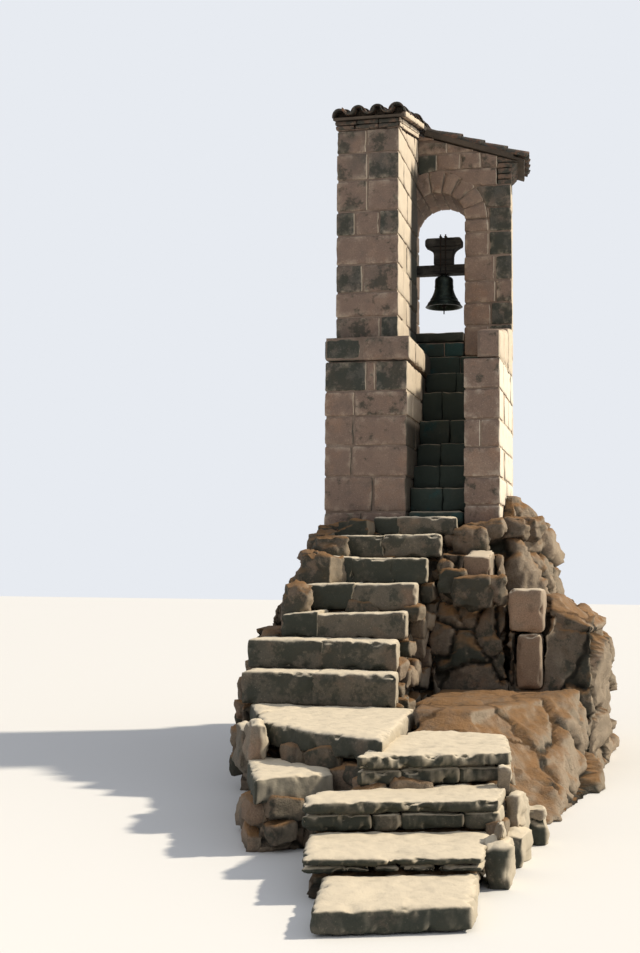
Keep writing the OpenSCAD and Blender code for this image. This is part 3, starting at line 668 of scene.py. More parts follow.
block_low, block_high = plan_box("left_block")
coping_low, coping_high = plan_box("left_block_coping")
cheek_low, cheek_high = plan_box("right_cheek")
cap_low, cap_high = plan_box("right_cheek_cap")
base_low, base_high = plan_box("bell_wall_base")
pier_low, pier_high = plan_box("upper_pier")
left_low, left_high = plan_box("left_jamb")
right_low, right_high = plan_box("right_jamb")
ring_low, ring_high = plan_box("arch_stones_odd", "arch_stones_even")
gable_low, gable_high = plan_box("gable_wall")
corbel_low, corbel_high = plan_box("eave_corbel")
podium_top, block_top, spring = block_low[2], base_high[2], left_high[2]
wall_left, wall_front, wall_right, wall_back = *base_low[:2], *base_high[:2]
wall_middle = (wall_left + wall_right) / 2
pier_left, pier_right = pier_low[0], pier_high[0]
pier_front_top = pier_high[2] - (pier_high[1] - pier_low[1]) * math.tan(PIER_PITCH)
arch_x, arch_r = (left_high[0] + right_low[0]) / 2, (right_low[0] - left_high[0]) / 2
ring_r = ring_high[2] - spring
print("podium top", round(podium_top, 3), "springing", round(spring, 3), "arch radius", round(arch_r, 3))

# %% [markdown]
# ### The left block, the cheek and the wall behind them
# The joints in these lists are heights and places that can be seen on the real front. Tones near 0 are the
# dark stones and tones near 1 the warm pale ones. The back face takes the left courses on its left half and
# the right ones on its right half, with the small jogs that such walls have.

# %% Lay the lower walls
left_courses = [
    (2.235, [-0.47], [0.42, 0.50]), (2.574, [-0.36], [0.62, 0.66]), (2.866, [-0.567], [0.58, 0.62]),
    (3.150, [-0.548], [0.55, 0.62]), (3.390, [-0.548], [0.60, 0.42]),
    (block_high[2], [-0.43, -0.345], [0.12, 0.60, 0.20])]
right_courses = [
    (2.300, [], [0.45]), (2.562, [], [0.55]), (2.839, [], [0.70]), (3.105, [0.655], [0.58, 0.62]),
    (3.390, [], [0.52]), (cheek_high[2], [], [0.45])]
block_stones, cheek_stones, base_stones = [], [], []


def share_out(stones, wing):
    """Side stones go to the wing in front or to the wall behind, by their middle."""
    for stone in stones:
        (wing if before_wall(stone) else base_stones).append(stone)


def lay_wing(wing, courses, out, front, ends, depth):
    """Courses of one wing and of half the wall behind. out is 0 where the outer end is the left one, else 1."""
    bottom, inward = podium_top, 1 - 2 * out
    half = (wall_middle, wall_right) if out else (wall_left, wall_middle)
    for k, (top, joints, tones) in enumerate(courses):
        reach = REACHES[(k + out) % 2]
        outer, inner = reach[out], reach[1 - out]
        wing += face_row(front, 1, [ends[0], *joints, ends[1]], tones, bottom, top, reach, (True, True))
        wing += side_row(ends[1 - out], -inward, front + inner, wall_front, bottom, top, depth)
        share_out(side_row(ends[out], inward, front + outer, wall_back - inner, bottom, top, depth), wing)
        base_stones.extend(face_row(wall_back, -1, even_cuts(*half, BACK_STONE), None, bottom, top,
                                    (STONE_DEPTH, inner) if out else (inner, STONE_DEPTH), (not out, out)))
        bottom = top


lay_wing(block_stones, left_courses, 0, block_low[1], (wall_left, block_high[0]), STONE_DEPTH)
lay_wing(cheek_stones, right_courses, 1, cheek_low[1], (cheek_low[0], wall_right), CHEEK_DEPTH)
print(len(block_stones), "stones in the block,", len(cheek_stones), "in the cheek")

# %% Lay the coping and the wall's top course
top_course = coping_low[2], block_top
reach = 0.50, 0.34
coping_stones = face_row(coping_low[1] + 0.006, 1, [wall_left, -0.473, coping_high[0]], [0.10, 0.42],
                         *top_course, reach, (True, False))
coping_stones += side_row(coping_high[0], -1, coping_low[1] + reach[1], wall_front, *top_course)
share_out(side_row(wall_left, 1, coping_low[1] + reach[0], wall_back - CORNER, *top_course), coping_stones)
base_stones += face_row(wall_back, -1, even_cuts(wall_left, wall_right, BACK_STONE), None, *top_course,
                        (CORNER, CORNER), (True, True))
base_stones += side_row(wall_right, -1, wall_front, wall_back - CORNER, cheek_high[2], block_top)
well_stones = face_row(wall_front, 1, [block_high[0], cheek_low[0] - 0.2, cap_low[0]], [0.35, 0.3],
                       coping_low[2] - 0.02, block_top)
stone_piece("left_block_stones", block_stones, "dressed_granite", "left_block")
stone_piece("cheek_stones", cheek_stones, "dressed_granite", "right_cheek", material=CHEEK_STONE_PAINTED_SUNLIT)
stone_piece("bell_wall_base_stones", base_stones, "dressed_granite", "bell_wall_base")
# The stairwell's back stones take the painted-shade stairwell finish.
stone_piece("stairwell_back_stones", well_stones, "dressed_granite", material=WELL_STONE_PAINTED_SHADE, joint=0.0)
stone_piece("coping_stones", coping_stones, "worn_granite_slab", "left_block_coping", radius=0.024, Chips=0.03)

# %% Cut the cheek's capping from long stones
cap_front = cheek_high[2] + 0.27
cap_slope = (cap_high[2] - cap_front) / (cap_high[1] - cap_low[1])
cap_stones = []
for near, far in pairs([cap_low[1], 0.40, 0.86, cap_high[1]]):
    tops = [cap_front + cap_slope * (y - cap_low[1]) for y in (near, far)]
    cap_stones.append((sloped([cap_low[0], near, cap_low[2]], [cap_high[0] + 0.008, far, 0], tops), 0.45))
stone_piece("cheek_cap_stones", cap_stones, "worn_granite_slab", "right_cheek_cap", radius=0.04, cell=0.035,
            Relief=0.014, Chips=0.04)

# %% [markdown]
# ### The bell wall and the pier
# Above the block stand the pier on the left and two jambs with darker quoins on the right. Between them a ring
# of nine arch stones carries the gable, whose stones stop at the ring and at the slope of the roof. A quoin
# that crosses the springing is one stone, as on the real wall.

# %% Lay the right jamb, the sill and the quoins
QUOINS = ((4.23, 0.60, 0.20), (4.465, 0.62, 0.16), (4.70, 0.67, 0.34), (4.963, 0.66, 0.12), (5.213, 0.60, 0.10),
          (5.47, 0.60, 0.14))
QUOINS_TOP = QUOINS[-1][0]
right_stones, bottom = [], block_top
for k, (top, x, tone) in enumerate(QUOINS):
    reach = REACHES[k % 2][1]
    inner_top = min(top, spring)
    for y_out, inward, tones in ((wall_front, 1, [0.62, tone]), (wall_back, -1, None)):
        right_stones += face_row(y_out, inward, [right_low[0], x], tones, bottom, inner_top, (CORNER, CORNER),
                                 (True, False))
        right_stones += face_row(y_out, inward, [x, wall_right], tones and tones[1:], bottom, top,
                                 (reach, reach), (False, True))
    right_stones += side_row(right_low[0], 1, wall_front + CORNER, wall_back - CORNER, bottom, inner_top)
    if wall_back - wall_front - 2 * reach > 0.05:
        right_stones += side_row(wall_right, -1, wall_front + reach, wall_back - reach, bottom, top)
    bottom = top
stone_piece("right_jamb_stones", right_stones, "dressed_granite", "right_jamb")

sill_low, sill_high = plan_box("sill_block")
slab_low, slab_high = plan_box("sill_slab")
sill_cuts = [left_high[0], arch_x + 0.08, right_low[0]]
sill_stones = face_row(wall_front, 1, sill_cuts, [0.4, 0.6], sill_low[2], sill_high[2])
# The sill's front stones, in the stairwell, take the painted-shade stairwell finish.
stone_piece("sill_front_stones", sill_stones, "dressed_granite", material=WELL_STONE_PAINTED_SHADE)
sill_back = face_row(wall_back, -1, sill_cuts, None, sill_low[2], sill_high[2])
stone_piece("sill_block_stones", sill_back, "dressed_granite", "sill_block")
sill_slab = box_corners([left_high[0], *slab_low[1:]], [right_low[0], *slab_high[1:]])
stone_piece("sill_slab_stone", [(sill_slab, 0.0)], "worn_granite_slab", "sill_slab", material=TREAD_STONE,
            radius=0.022, Chips=0.03)

# %% Turn the ring of arch stones
RING_TONES = (0.60, 0.66, 0.55, 0.70, 0.62, 0.72, 0.58, 0.66, 0.55)
RING_JUT = 0.010
ring_mid = (arch_r + ring_r) / 2


def bend_to_arch(points):
    """Wraps a straight row of stones round the arch: X becomes the angle and Z the radius."""
    angle, radius = -points[:, 0] / ring_mid, points[:, 2]
    return np.stack([arch_x + radius * np.cos(angle), points[:, 1], spring + radius * np.sin(angle)], 1)


for name, first in (("arch_stones_odd", 0), ("arch_stones_even", 1)):
    ring = []
    for i in range(first, len(RING_TONES), 2):
        start, end = (math.pi * end / len(RING_TONES) for end in (i, i + 1))
        straight = box_corners([-end * ring_mid, ring_low[1] - RING_JUT, arch_r],
                               [-start * ring_mid, ring_high[1] + RING_JUT, ring_r])
        ring.append((straight, RING_TONES[i], bend_to_arch))
    stone_piece(name + "_dressed", ring, "dressed_granite", name, joint=0.008, cell=0.03)

# %% Lay the gable round the ring
GABLE_JOINTS = 6.07, 6.22
gable_left, corbel_x = gable_low[0], corbel_low[0]
crown = spring + ring_r
gable_stones = []


def roof_line(x):
    """Height of the gable's sloping top at a place along X."""
    return gable_high[2] - (x - gable_left) * math.tan(WALL_PITCH)


def ring_side(z, side):
    """Where the ring's outside lies at a height, left or right of the arch."""
    return arch_x + side * math.sqrt(max(0.0, ring_r ** 2 - (z - spring) ** 2))


def gable_stone(outline, tone):
    """One stone in the front face, and a like one in the back."""
    for near, far in ((wall_front - jut(), wall_front + CORNER), (wall_back - CORNER, wall_back + jut())):
        gable_stones.append((wedge_corners(outline, near, far), tone))


def gable_course(bottom, top, cuts, tones):
    """Stones between X places. The first starts at the ring where its cut is None."""
    for (a, b), tone in zip(pairs(cuts), tones):
        low_a, high_a = (ring_side(bottom, 1), ring_side(top, 1)) if a is None else (a, a)
        tops = [min(top, roof_line(x)) for x in (high_a, b)]
        if max(tops) - bottom > 0.03:
            tops = [max(t, bottom + 0.012) for t in tops]
            gable_stone([(low_a, bottom), (b, bottom), (b, tops[1]), (high_a, tops[0])], tone)


gable_course(spring, QUOINS_TOP, [None, 0.60], [0.55])
gable_course(QUOINS_TOP, corbel_low[2], [None, wall_right], [0.16])
gable_course(corbel_low[2], crown, [None, corbel_x], [0.52])
ring_left = spring + math.sqrt(ring_r ** 2 - (arch_x - gable_left) ** 2)
first, second = GABLE_JOINTS
gable_stone([(gable_left, ring_left), (arch_x, crown), (arch_x, first), (gable_left, first)], 0.14)
gable_course(crown, first, [arch_x, 0.30, 0.52, corbel_x], [0.60, 0.46, 0.40])
gable_course(first, second, [gable_left, 0.16, 0.44, corbel_x], [0.40, 0.52, 0.45])
gable_course(second, gable_high[2], [gable_left, 0.02, 0.30], [0.35, 0.5])
gable_stones += side_row(wall_right, -1, wall_front + CORNER, wall_back - CORNER, QUOINS_TOP, corbel_low[2])
stone_piece("gable_stones", gable_stones, "dressed_granite", "gable_wall", Relief=0.012)

# %% Lay the pier and the left jamb
pier_courses = [
    (4.133, [-0.33], [0.32, 0.14]), (4.374, [], [0.50]), (4.650, [-0.50], [0.18, 0.34]), (4.938, [], [0.46]),
    (5.176, [-0.582, -0.341], [0.16, 0.52, 0.10]), (5.485, [-0.459], [0.36, 0.42]),
    (5.754, [-0.459], [0.34, 0.28]), (pier_front_top, [-0.470], [0.34, 0.38])]
pier_stones, jamb_stones, bottom = [], [], block_top
for k, (top, joints, tones) in enumerate(pier_courses):
    reach = REACHES[k % 2]
    pier_stones += face_row(pier_low[1], 1, [pier_left, *joints, pier_right], tones, bottom, top, reach,
                            (True, True))
    pier_stones += side_row(pier_right, -1, pier_low[1] + reach[1], wall_front, bottom, top)
    for stone in side_row(pier_left, 1, pier_low[1] + reach[0], wall_back - reach[1], bottom, top):
        (pier_stones if before_wall(stone) or top > spring else jamb_stones).append(stone)
    behind = jamb_stones if bottom < spring else pier_stones
    near, far = wall_back - reach[1], wall_back + jut()
    ends = [left_high[0] if z < spring else min(pier_right, ring_side(z, -1)) for z in (bottom, top)]
    split = ring_side(spring, -1) if bottom < spring < top else pier_left + (0.24, 0.32)[k % 2]
    outline = [(pier_left - 0.01, bottom), (split, bottom), (split, top), (pier_left - 0.01, top)]
    behind.append((wedge_corners(outline, near, far), random_tone()))
    if bottom < spring:
        rows = bottom, min(top, spring)
        behind += face_row(wall_back, -1, [split, left_high[0]], None, *rows, (CORNER, CORNER), (False, True))
        behind += side_row(left_high[0], -1, wall_front, wall_back - CORNER, *rows)
    elif ends[0] - split > 0.05:
        outline = [(split, bottom), (ends[0], bottom), (ends[1], top), (split, top)]
        behind.append((wedge_corners(outline, near, far), random_tone()))
    bottom = top


# %% Cap the pier with stones cut to the slope
PIER_CUTS, PIER_SPLIT = (0.62, 1.10, 1.55), -0.45


def pier_head(y):
    return pier_front_top + (y - pier_low[1]) * math.tan(PIER_PITCH)


for near, far in pairs([pier_low[1], *PIER_CUTS, wall_back]):
    tops = max(pier_head(near), pier_front_top + 0.014), pier_head(far)
    for x0, x1 in ((pier_left - 0.008, PIER_SPLIT), (PIER_SPLIT, pier_right + 0.008)):
        stone = sloped([x0, near, pier_front_top], [x1, far + (0.008 if far == wall_back else 0), 0], tops)
        pier_stones.append((stone, random_tone()))
stone_piece("pier_stones", pier_stones, "dressed_granite", "upper_pier")
stone_piece("left_jamb_stones", jamb_stones, "dressed_granite", "left_jamb")

# %% Fill the walls' hearts with mortar
RECESS, TOP_RECESS = 0.011, 0.003
pier_top = wall_back, pier_front_top
hearts, gable_hearts = [], [[(gable_left, crown), (corbel_x, crown), (corbel_x, roof_line(corbel_x) - RECESS),
                             (gable_left, roof_line(gable_left) - RECESS)]]
for low, high in ((block_low, block_high), (coping_low, coping_high), (cheek_low, cheek_high),
                  (cap_low, cap_high - [0, 0, 0.25]), (base_low, base_high), (left_low, left_high),
                  (right_low, right_high), (sill_low, sill_high),
                  ([pier_left, pier_low[1], block_top], [pier_right, wall_front + 0.05, pier_front_top]),
                  ([pier_left, wall_front, spring], [ring_side(spring, -1), *pier_top])):
    hearts.append((box_corners(np.add(low, RECESS), np.subtract(high, [RECESS, RECESS, TOP_RECESS])), 0.5))
for a, b in pairs(np.linspace(spring, crown, 7)):
    near_x, far_x = pier_left + RECESS, (wall_right if b <= corbel_low[2] + 0.05 else corbel_x) - RECESS
    gable_hearts += [
        [(ring_side(a, 1) - RECESS, a), (far_x, a), (far_x, b), (ring_side(b, 1) - RECESS, b)],
        [(near_x, a), (ring_side(a, -1) + RECESS, a), (ring_side(b, -1) + RECESS, b), (near_x, b)]]
hearts += [(wedge_corners(outline, wall_front + RECESS, wall_back - RECESS), 0.5) for outline in gable_hearts]
ring_heart = box_corners([-math.pi * ring_mid, wall_front + RECESS, arch_r + RECESS],
                         [0, wall_back - RECESS, ring_r - RECESS])
hearts.append((ring_heart, 0.5, bend_to_arch))
stone_piece("wall_mortar", hearts, "rubble_masonry", material=LIME_MORTAR, joint=0.0, radius=0.004, cell=0.08,
            Relief=0.002, Grain=0.002, Chips=0.0)

# %% [markdown]
# ## The outdoor stair
# Each outer step is a thick slab of granite with a worn, pale top and a ragged nose over rough riser stones. A
# voxel remesh turns a plain prism into an even skin of small quads, and the weathering tree then rounds it, so
# that no arris stays straight. Nearness to an arris is measured first, because the remesh forgets it.

# %% Cut an outline into stones
def flat_outline(node):
    """The outline of a node seen from above, anticlockwise, without points that lie on a straight line."""
    spots = np.array([v.co[:2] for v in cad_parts[node].data.vertices], float)
    spots = np.unique(spots.round(4), axis=0)
    hull = spots[geometry.convex_hull_2d([tuple(s) for s in spots])]
    before, after = hull - np.roll(hull, 1, axis=0), np.roll(hull, -1, axis=0) - hull
    turn = before[:, 0] * after[:, 1] - before[:, 1] * after[:, 0]
    corners = hull[np.abs(turn) > 1e-4]
    return corners if turn.sum() > 0 else corners[::-1]


def sides_of(outline):
    return list(zip(outline, np.roll(outline, -1, axis=0)))


def clip(outline, origin, direction):
    """The part of a convex outline on the side that a direction points to."""
    kept = []
    for a, b in sides_of(outline):
        da, db = (a - origin) @ direction, (b - origin) @ direction
        if da >= 0:
            kept.append(a)
        if (da >= 0) != (db >= 0):
            kept.append(a + (b - a) * da / (da - db))
    return np.array(kept)


def inward_of(a, b):
    return np.array([a[1] - b[1], b[0] - a[0]])


def front_edge(outline):
    """Two ends of the outline's front edge, left end first, and the direction between them."""
    a, b = max(sides_of(outline), key=lambda ends: -inward_of(*ends) @ [0.2, -1.0])
    return a, b, (b - a) / np.linalg.norm(b - a)


def split_along_front(outline, cuts, joint=0.004):
    """Parts of an outline between places that are given as shares of its length along the front edge."""
    along = front_edge(outline)[2]
    low_end, high_end = (outline @ along).min(), (outline @ along).max()
    places = [low_end - 1, *[low_end + c * (high_end - low_end) for c in cuts], high_end + 1]
    parts = []
    for low, high in pairs(places):
        part = clip(outline, along * (low + joint / 2), along)
        parts.append(clip(part, along * (high - joint / 2), -along))
    return parts


def set_back(outline, distance):
    """The outline with its front edge moved back."""
    a, b, _ = front_edge(outline)
    inward = inward_of(a, b) / np.linalg.norm(b - a)
    return clip(outline, a + inward * distance, inward)


# %% Turn a prism into an even skin
SLAB_CELL = 0.019


def even_skin(mesh, voxel):
    """Remeshes a closed mesh into quads of one size and returns its points and quads."""
    source = link("skin", mesh)
    remesh = source.modifiers.new("skin", "REMESH")
    remesh.mode = "VOXEL"
    remesh.voxel_size = voxel
    result = shown_mesh(source)
    points, quads = np.zeros(len(result.vertices) * 3), np.zeros(len(result.loops), int)
    result.vertices.foreach_get("co", points)
    result.loops.foreach_get("vertex_index", quads)
    return points.reshape(-1, 3), quads.reshape(-1, 4)


def rough_prism(outline, bottom, top, tilt):
    """Points, quads and nearness to an arris of a slab whose top may rise from left to right."""
    along = outline @ front_edge(outline)[2]
    share = (along - along.mean()) / np.ptp(along)
    foot = np.column_stack([outline, np.full(len(outline), bottom)])
    head = np.column_stack([outline, top + tilt * share])
    points, quads = even_skin(loft("prism", [foot, head]), SLAB_CELL)
    depths = [np.abs(points[:, 2] - bottom), np.abs(top + tilt * 0.5 - points[:, 2])]
    for p, q in sides_of(outline):
        depths.append(np.abs((points[:, :2] - p) @ inward_of(p, q) / np.linalg.norm(q - p)))
    second = np.sort(np.stack(depths), axis=0)[1]
    return points, quads, np.clip(1 - second / SLAB_WEAR, 0, 1)


def slab_piece(node, stones):
    """A step of many rough prisms. Each stone is its outline, bottom, top, tilt and tone."""
    name, parts = node + "_stones", []
    for outline, bottom, top, tilt, tone in stones:
        points, quads, edge = rough_prism(outline, bottom, top, tilt)
        parts.append((points, quads, tone, edge, luck.uniform(0, 90)))
    values = {"Material": TREAD_STONE, "Smoothing": 2, "Relief": 0.02, "Relief scale": 4.5, "Grain": 0.010,
              "Grain scale": 15.0, "Chips": 0.045}
    settle(grow(name, seed_of_parts(name, parts), WEATHERING, values), "root", "worn_granite_slab", node)


# %% Lay the lower flight, the winder and the landing
def lower_step(node, tread, riser_cuts=(), tones=(), back=0.03, tread_cuts=(), nose=None):
    """A tread of one or more slabs over a row of riser stones that stand a little behind the nose."""
    low, high = plan_box(node)
    outline = flat_outline(node)
    if nose:
        outline = clip(outline, nose[0], inward_of(*nose))
    # The slabs take a low tone, and the riser stones low tones too, so the fronts under each worn top are dark:
    # this paints the shade under each nose.
    stones = [(part, high[2] - tread, high[2], 0.0, 0.20) for part in split_along_front(outline, tread_cuts)]
    if riser_cuts:
        parts = split_along_front(set_back(outline, back), riser_cuts, -0.006)
        stones += [(part, low[2] + 0.004, high[2] - tread - 0.006, 0.0, tone)
                   for part, tone in zip(parts, tones)]
    slab_piece(node, stones)


# The riser tones listed below are low: painted shade under the noses.
lower_step("lower_step_1", 0.126)
lower_step("lower_step_2", 0.050, (0.33, 0.45, 0.62), (0.0, 0.05, 0.0, 0.10),
           nose=((0.385, -5.67), (1.273, -5.372)))
lower_step("lower_step_3", 0.070, (0.30, 0.43, 0.70), (0.0, 0.22, 0.04, 0.15))
lower_step("lower_step_4", 0.080, (0.22, 0.5, 0.72), (0.1, 0.0, 0.2, 0.05))
lower_step("winder_step", 0.168)
lower_step("landing_slab", 0.150, (0.30, 0.70), (0.5, 0.2, 0.1), 0.07, (0.25,))

# %% Lay the upper flight
for node, cuts, tones, tilt, short in (
        ("upper_step_1", (0.47,), (0.26, 0.40), 0.0, 0.06), ("upper_step_2", (0.50,), (0.30, 0.32), 0.0, 0.05),
        ("upper_step_3", (0.28,), (0.1, 0.5), 0.03, 0.18), ("upper_step_4", (0.50,), (0.15, 0.62), 0.02, 0.06),
        ("upper_step_5", (0.35, 0.7), (0.1, 0.2, 0.15), 0.0, 0.0),
        ("upper_step_6", (0.46,), (0.2, 0.4), 0.0, 0.0), ("upper_step_7", (0.30,), (0.05, 0.5), 0.0, 0.0)):
    low, high = plan_box(node)
    outline = flat_outline(node)
    left_corner, corner, along = front_edge(outline)
    outline = clip(outline, left_corner + along * short, along)
    parts = split_along_front(clip(outline, corner, np.array([-0.43, -0.055])), cuts, -0.030)
    slab_piece(node, [(part, low[2], high[2] + luck.uniform(-0.014, 0.006), tilt, tone)
                      for part, tone in zip(parts, tones)])

# %% Lay the steps inside the stairwell
# The threshold and the inner steps take the painted-shade stairwell finish.
threshold_low, threshold_high = plan_box("threshold_slab")
threshold = box_corners(threshold_low + [0.004, -0.01, 0], threshold_high - [0.004, 0, 0])
stone_piece("threshold_stone", [(threshold, 0.4)], "worn_granite_slab", "threshold_slab", material=WELL_STONE_PAINTED_SHADE,
            radius=0.03, cell=0.05, Relief=0.012, Chips=0.03)
for i in range(1, 7):
    low, high = plan_box(f"inner_step_{i}")
    x_cuts = [low[0] + 0.004, low[0] + luck.uniform(0.35, 0.65) * (high[0] - low[0]), high[0] - 0.004]
    stones = [(box_corners([a, low[1] - luck.uniform(0, 0.012), low[2]], [b, high[1], high[2]]),
               luck.uniform(0.05, 0.4)) for a, b in pairs(x_cuts)]
    stone_piece(f"inner_step_{i}_stones", stones, "worn_granite_slab", f"inner_step_{i}", material=WELL_STONE_PAINTED_SHADE,
                joint=0.0, radius=0.014, cell=0.05, Relief=0.012, Chips=0.03)

# %% [markdown]
# ## The outcrop
# The tower stands on a knoll of granite. Each rock of the frame is remeshed into an even skin, and a geometry
# tree breaks that skin into blocks: a warped Voronoi pattern gives the cracks and pushes each block in or out,
# and noise at three sizes gives lumps, hollows and grain. The crack depth is kept as a number on the mesh, so
# that the finish colours the cracks near black.

# %% Grow the rock tree
def store(shape, name, value):
    inputs = {"Geometry": shape, "Name": name, "Value": value}
    return add(shape.tree, "GeometryNodeStoreNamedAttribute", inputs, data_type="FLOAT", domain="POINT")


def cells_of(place, scale, feature="F1"):
    return add(place.tree, "ShaderNodeTexVoronoi", {"Vector": place, "Scale": scale}, feature=feature)


def tilted(place, cells):
    """Height of a flat facet that leans another way in every cell."""
    return vector("DOT_PRODUCT", vector("SUBTRACT", place, cells["Position"]),
                  vector("SUBTRACT", cells["Color"], (0.5, 0.5, 0.5)))


def rock_tree():
    tree, given = new_tree("rock", {
        "Block size": 0.6, "Crack depth": 0.07, "Block shift": 0.05, "Facets": 0.35, "Lumps": 0.09,
        "Roughness": 0.055, "Draw in": 0.020})
    place = field(tree, "Position")
    warp = add(tree, "ShaderNodeTexNoise", {"Vector": place, "Scale": 1.7, "Detail": 4.0})["Color"]
    warp = vector("SCALE", vector("SUBTRACT", warp, (0.5, 0.5, 0.5)), Scale=0.55)
    bedded = vector("MULTIPLY", vector("ADD", place, warp), (1.0, 1.0, 1.45))
    scale = calc("DIVIDE", 1.0, given["Block size"])
    gap, cell = cells_of(bedded, scale, "DISTANCE_TO_EDGE"), cells_of(bedded, scale)
    tint = xyz(cell["Color"])
    crack = 1.0 - gap.spread(0.0, 0.07)
    shift = (tint["X"] - 0.5) * given["Block shift"] + tilted(bedded, cell) * given["Facets"]
    flakes = tilted(bedded, cells_of(bedded, scale * 3.1)) * 0.45 * given["Facets"]
    lumps = swing(place, 2.3, 3.0, 0.5) * given["Lumps"]
    rough = swing(place, 8.0, 7.0, 0.62) * given["Roughness"] + swing(place, 24.0, 3.0, 0.7) * 0.016
    bulge = shift * gap.spread(0.0, 0.10) + flakes + (lumps + rough) * 2.0
    height = bulge - (crack * given["Crack depth"] + given["Draw in"])
    rise = xyz(field(tree, "Normal"))["Z"]
    on_top = calc("MAXIMUM", height, -0.012) * 0.6
    height = mix(rise.spread(0.6, 0.95), height, on_top, "FLOAT")
    height = mix(rise.spread(-0.9, -0.6), 0.02, height, "FLOAT")
    shape = store(given, "crevice", crack)
    shape = store(shape, "tone", 0.25 + tint["Y"] * 0.5)
    shape = store(shape, "number", tint["Z"] * 40.0)
    return close_tree(swell_by(shape, height), given["Material"])


ROCK = rock_tree()


def rock_piece(name, node, voxel=0.035, foot=None, **values):
    """A frame rock's merged copy, remeshed and broken into blocks. The frame's own mesh is left alone. A foot
    line keeps the rock behind the lowest risers."""
    solid = bmesh.new()
    solid.from_mesh(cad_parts[node].data)
    bmesh.ops.remove_doubles(solid, verts=solid.verts, dist=1e-5)
    if foot:
        bmesh.ops.bisect_plane(solid, geom=[*solid.verts, *solid.edges, *solid.faces], plane_co=(*foot[0], 0),
                               plane_no=(*-inward_of(*foot), 0), clear_outer=True)
        bmesh.ops.holes_fill(solid, edges=solid.edges, sides=0)
    copy = bpy.data.meshes.new(name + "_copy")
    solid.to_mesh(copy)
    solid.free()
    rock = grow(name, seed_mesh(name, *even_skin(copy, voxel)), ROCK, {"Material": MOUND_STONE, **values})
    return settle(rock, "root", "outcrop_rock", node)


# %% Break the rocks into blocks
rock_piece("podium_rock", "tower_podium", 0.038)
rock_piece("boulder_rock", "side_boulder", 0.028, **{"Block size": 1.2, "Block shift": 0.03, "Lumps": 0.08})
rock_piece("shoulder_rock", "left_shoulder")
rock_piece("ledge_rock", "right_ledge", 0.034)
rock_piece("crag_rock", "front_crag", 0.03, **{"Block size": 0.45})
rock_piece("bank_rock", "lower_bank", 0.034, **{"Block size": 0.8, "Crack depth": 0.04, "Lumps": 0.12})


def ledge_stone(node, forward, tone, drop=0.0):
    """A dressed block that sits almost flush in the rock. Its top may fall towards the front."""
    low, high = plan_box(node)
    low[1] += forward
    block = sloped(low, high, [high[2] - drop, high[2]])
    stone_piece(node + "_stone", [(block, tone)], "dressed_granite", node, material=LEDGE_STONE, radius=0.03,
                cell=0.03, Relief=0.022, Grain=0.010, Chips=0.06)


ledge_stone("dressed_block_low", 0.045, 0.5)
ledge_stone("dressed_block_high", 0.030, 0.75)
ledge_stone("flat_block", 0.0, 0.42, 0.07)

# %% [markdown]
# ## Rubble
# The stair's flanks are rubble: fist-sized and head-sized stones bedded in earth. One stone is a cube drawn
# towards a ball. Points are scattered over the flanks, never closer than a stone's width, and each carries a
# stone turned to the face. Noise read with the stone's own number then makes every copy different.

# %% Grow the rubble trees
def copies(points, thing, turn, size):
    """A real copy of one mesh on every point."""
    placed = add(points.tree, "GeometryNodeInstanceOnPoints",
                 {"Points": points, "Instance": thing, "Rotation": turn, "Scale": size})
    return add(points.tree, "GeometryNodeRealizeInstances", {0: placed})


def stones_on(points, turn, size, cuts=7, facets=None):
    """Copies of one blocky stone on points that already carry a tone and a number."""
    place, number = field(points.tree, "Position"), named(points.tree, "number")
    cube = add(points.tree, "GeometryNodeMeshCube", {f"Vertices {axis}": cuts for axis in "XYZ"})
    ball = vector("SCALE", vector("NORMALIZE", place), Scale=0.62)
    real = copies(points, place_at(cube, mix(0.44, place, ball, "VECTOR")), turn, size)
    height = swing(place, 5.0, 2.0, 0.5, number) * 0.13 + swing(place, 20.0, 4.0, 0.6, number) * 0.03
    if facets:
        shifted = vector("ADD", place, number)
        height = height + tilted(shifted, cells_of(shifted, 6.0)) * facets
    return swell_by(real, height)


def random_between(tree, low, high, seed):
    kind = "FLOAT" if isinstance(low, float) else "FLOAT_VECTOR"
    return add(tree, "FunctionNodeRandomValue", {"Min": low, "Max": high, "Seed": seed}, data_type=kind)


def facing_tree():
    tree, given = new_tree("rubble_facing", {
        "Spacing": 0.15, "Seed": 4, "Smallest": (0.16, 0.12, 0.10), "Largest": (0.27, 0.18, 0.14)})
    beyond_foot = calc("LESS_THAN", xyz(field(tree, "Position"))["Y"], -5.0)
    blocked = calc("ABSOLUTE", xyz(field(tree, "Normal"))["Z"]) + beyond_foot
    flank = add(tree, "FunctionNodeCompare", {0: blocked, 1: 0.3}, data_type="FLOAT", operation="LESS_THAN")
    spots = add(tree, "GeometryNodeDistributePointsOnFaces", {
        "Mesh": given, "Selection": flank, "Distance Min": given["Spacing"], "Density Max": 120.0,
        "Seed": given["Seed"]}, distribute_method="POISSON")
    points = store(spots, "tone", random_between(tree, 0.2, 0.85, 5))
    points = store(points, "number", random_between(tree, 0.0, 90.0, 6))
    size = random_between(tree, given["Smallest"], given["Largest"], 0)
    lean = random_between(tree, (-0.15, -0.15, -0.25), (0.15, 0.15, 0.25), 8)
    turn = add(tree, "FunctionNodeRotateRotation", {0: spots["Rotation"], 1: lean}, rotation_space="LOCAL")
    return close_tree(stones_on(points, turn, size), given["Material"])


FACING = facing_tree()

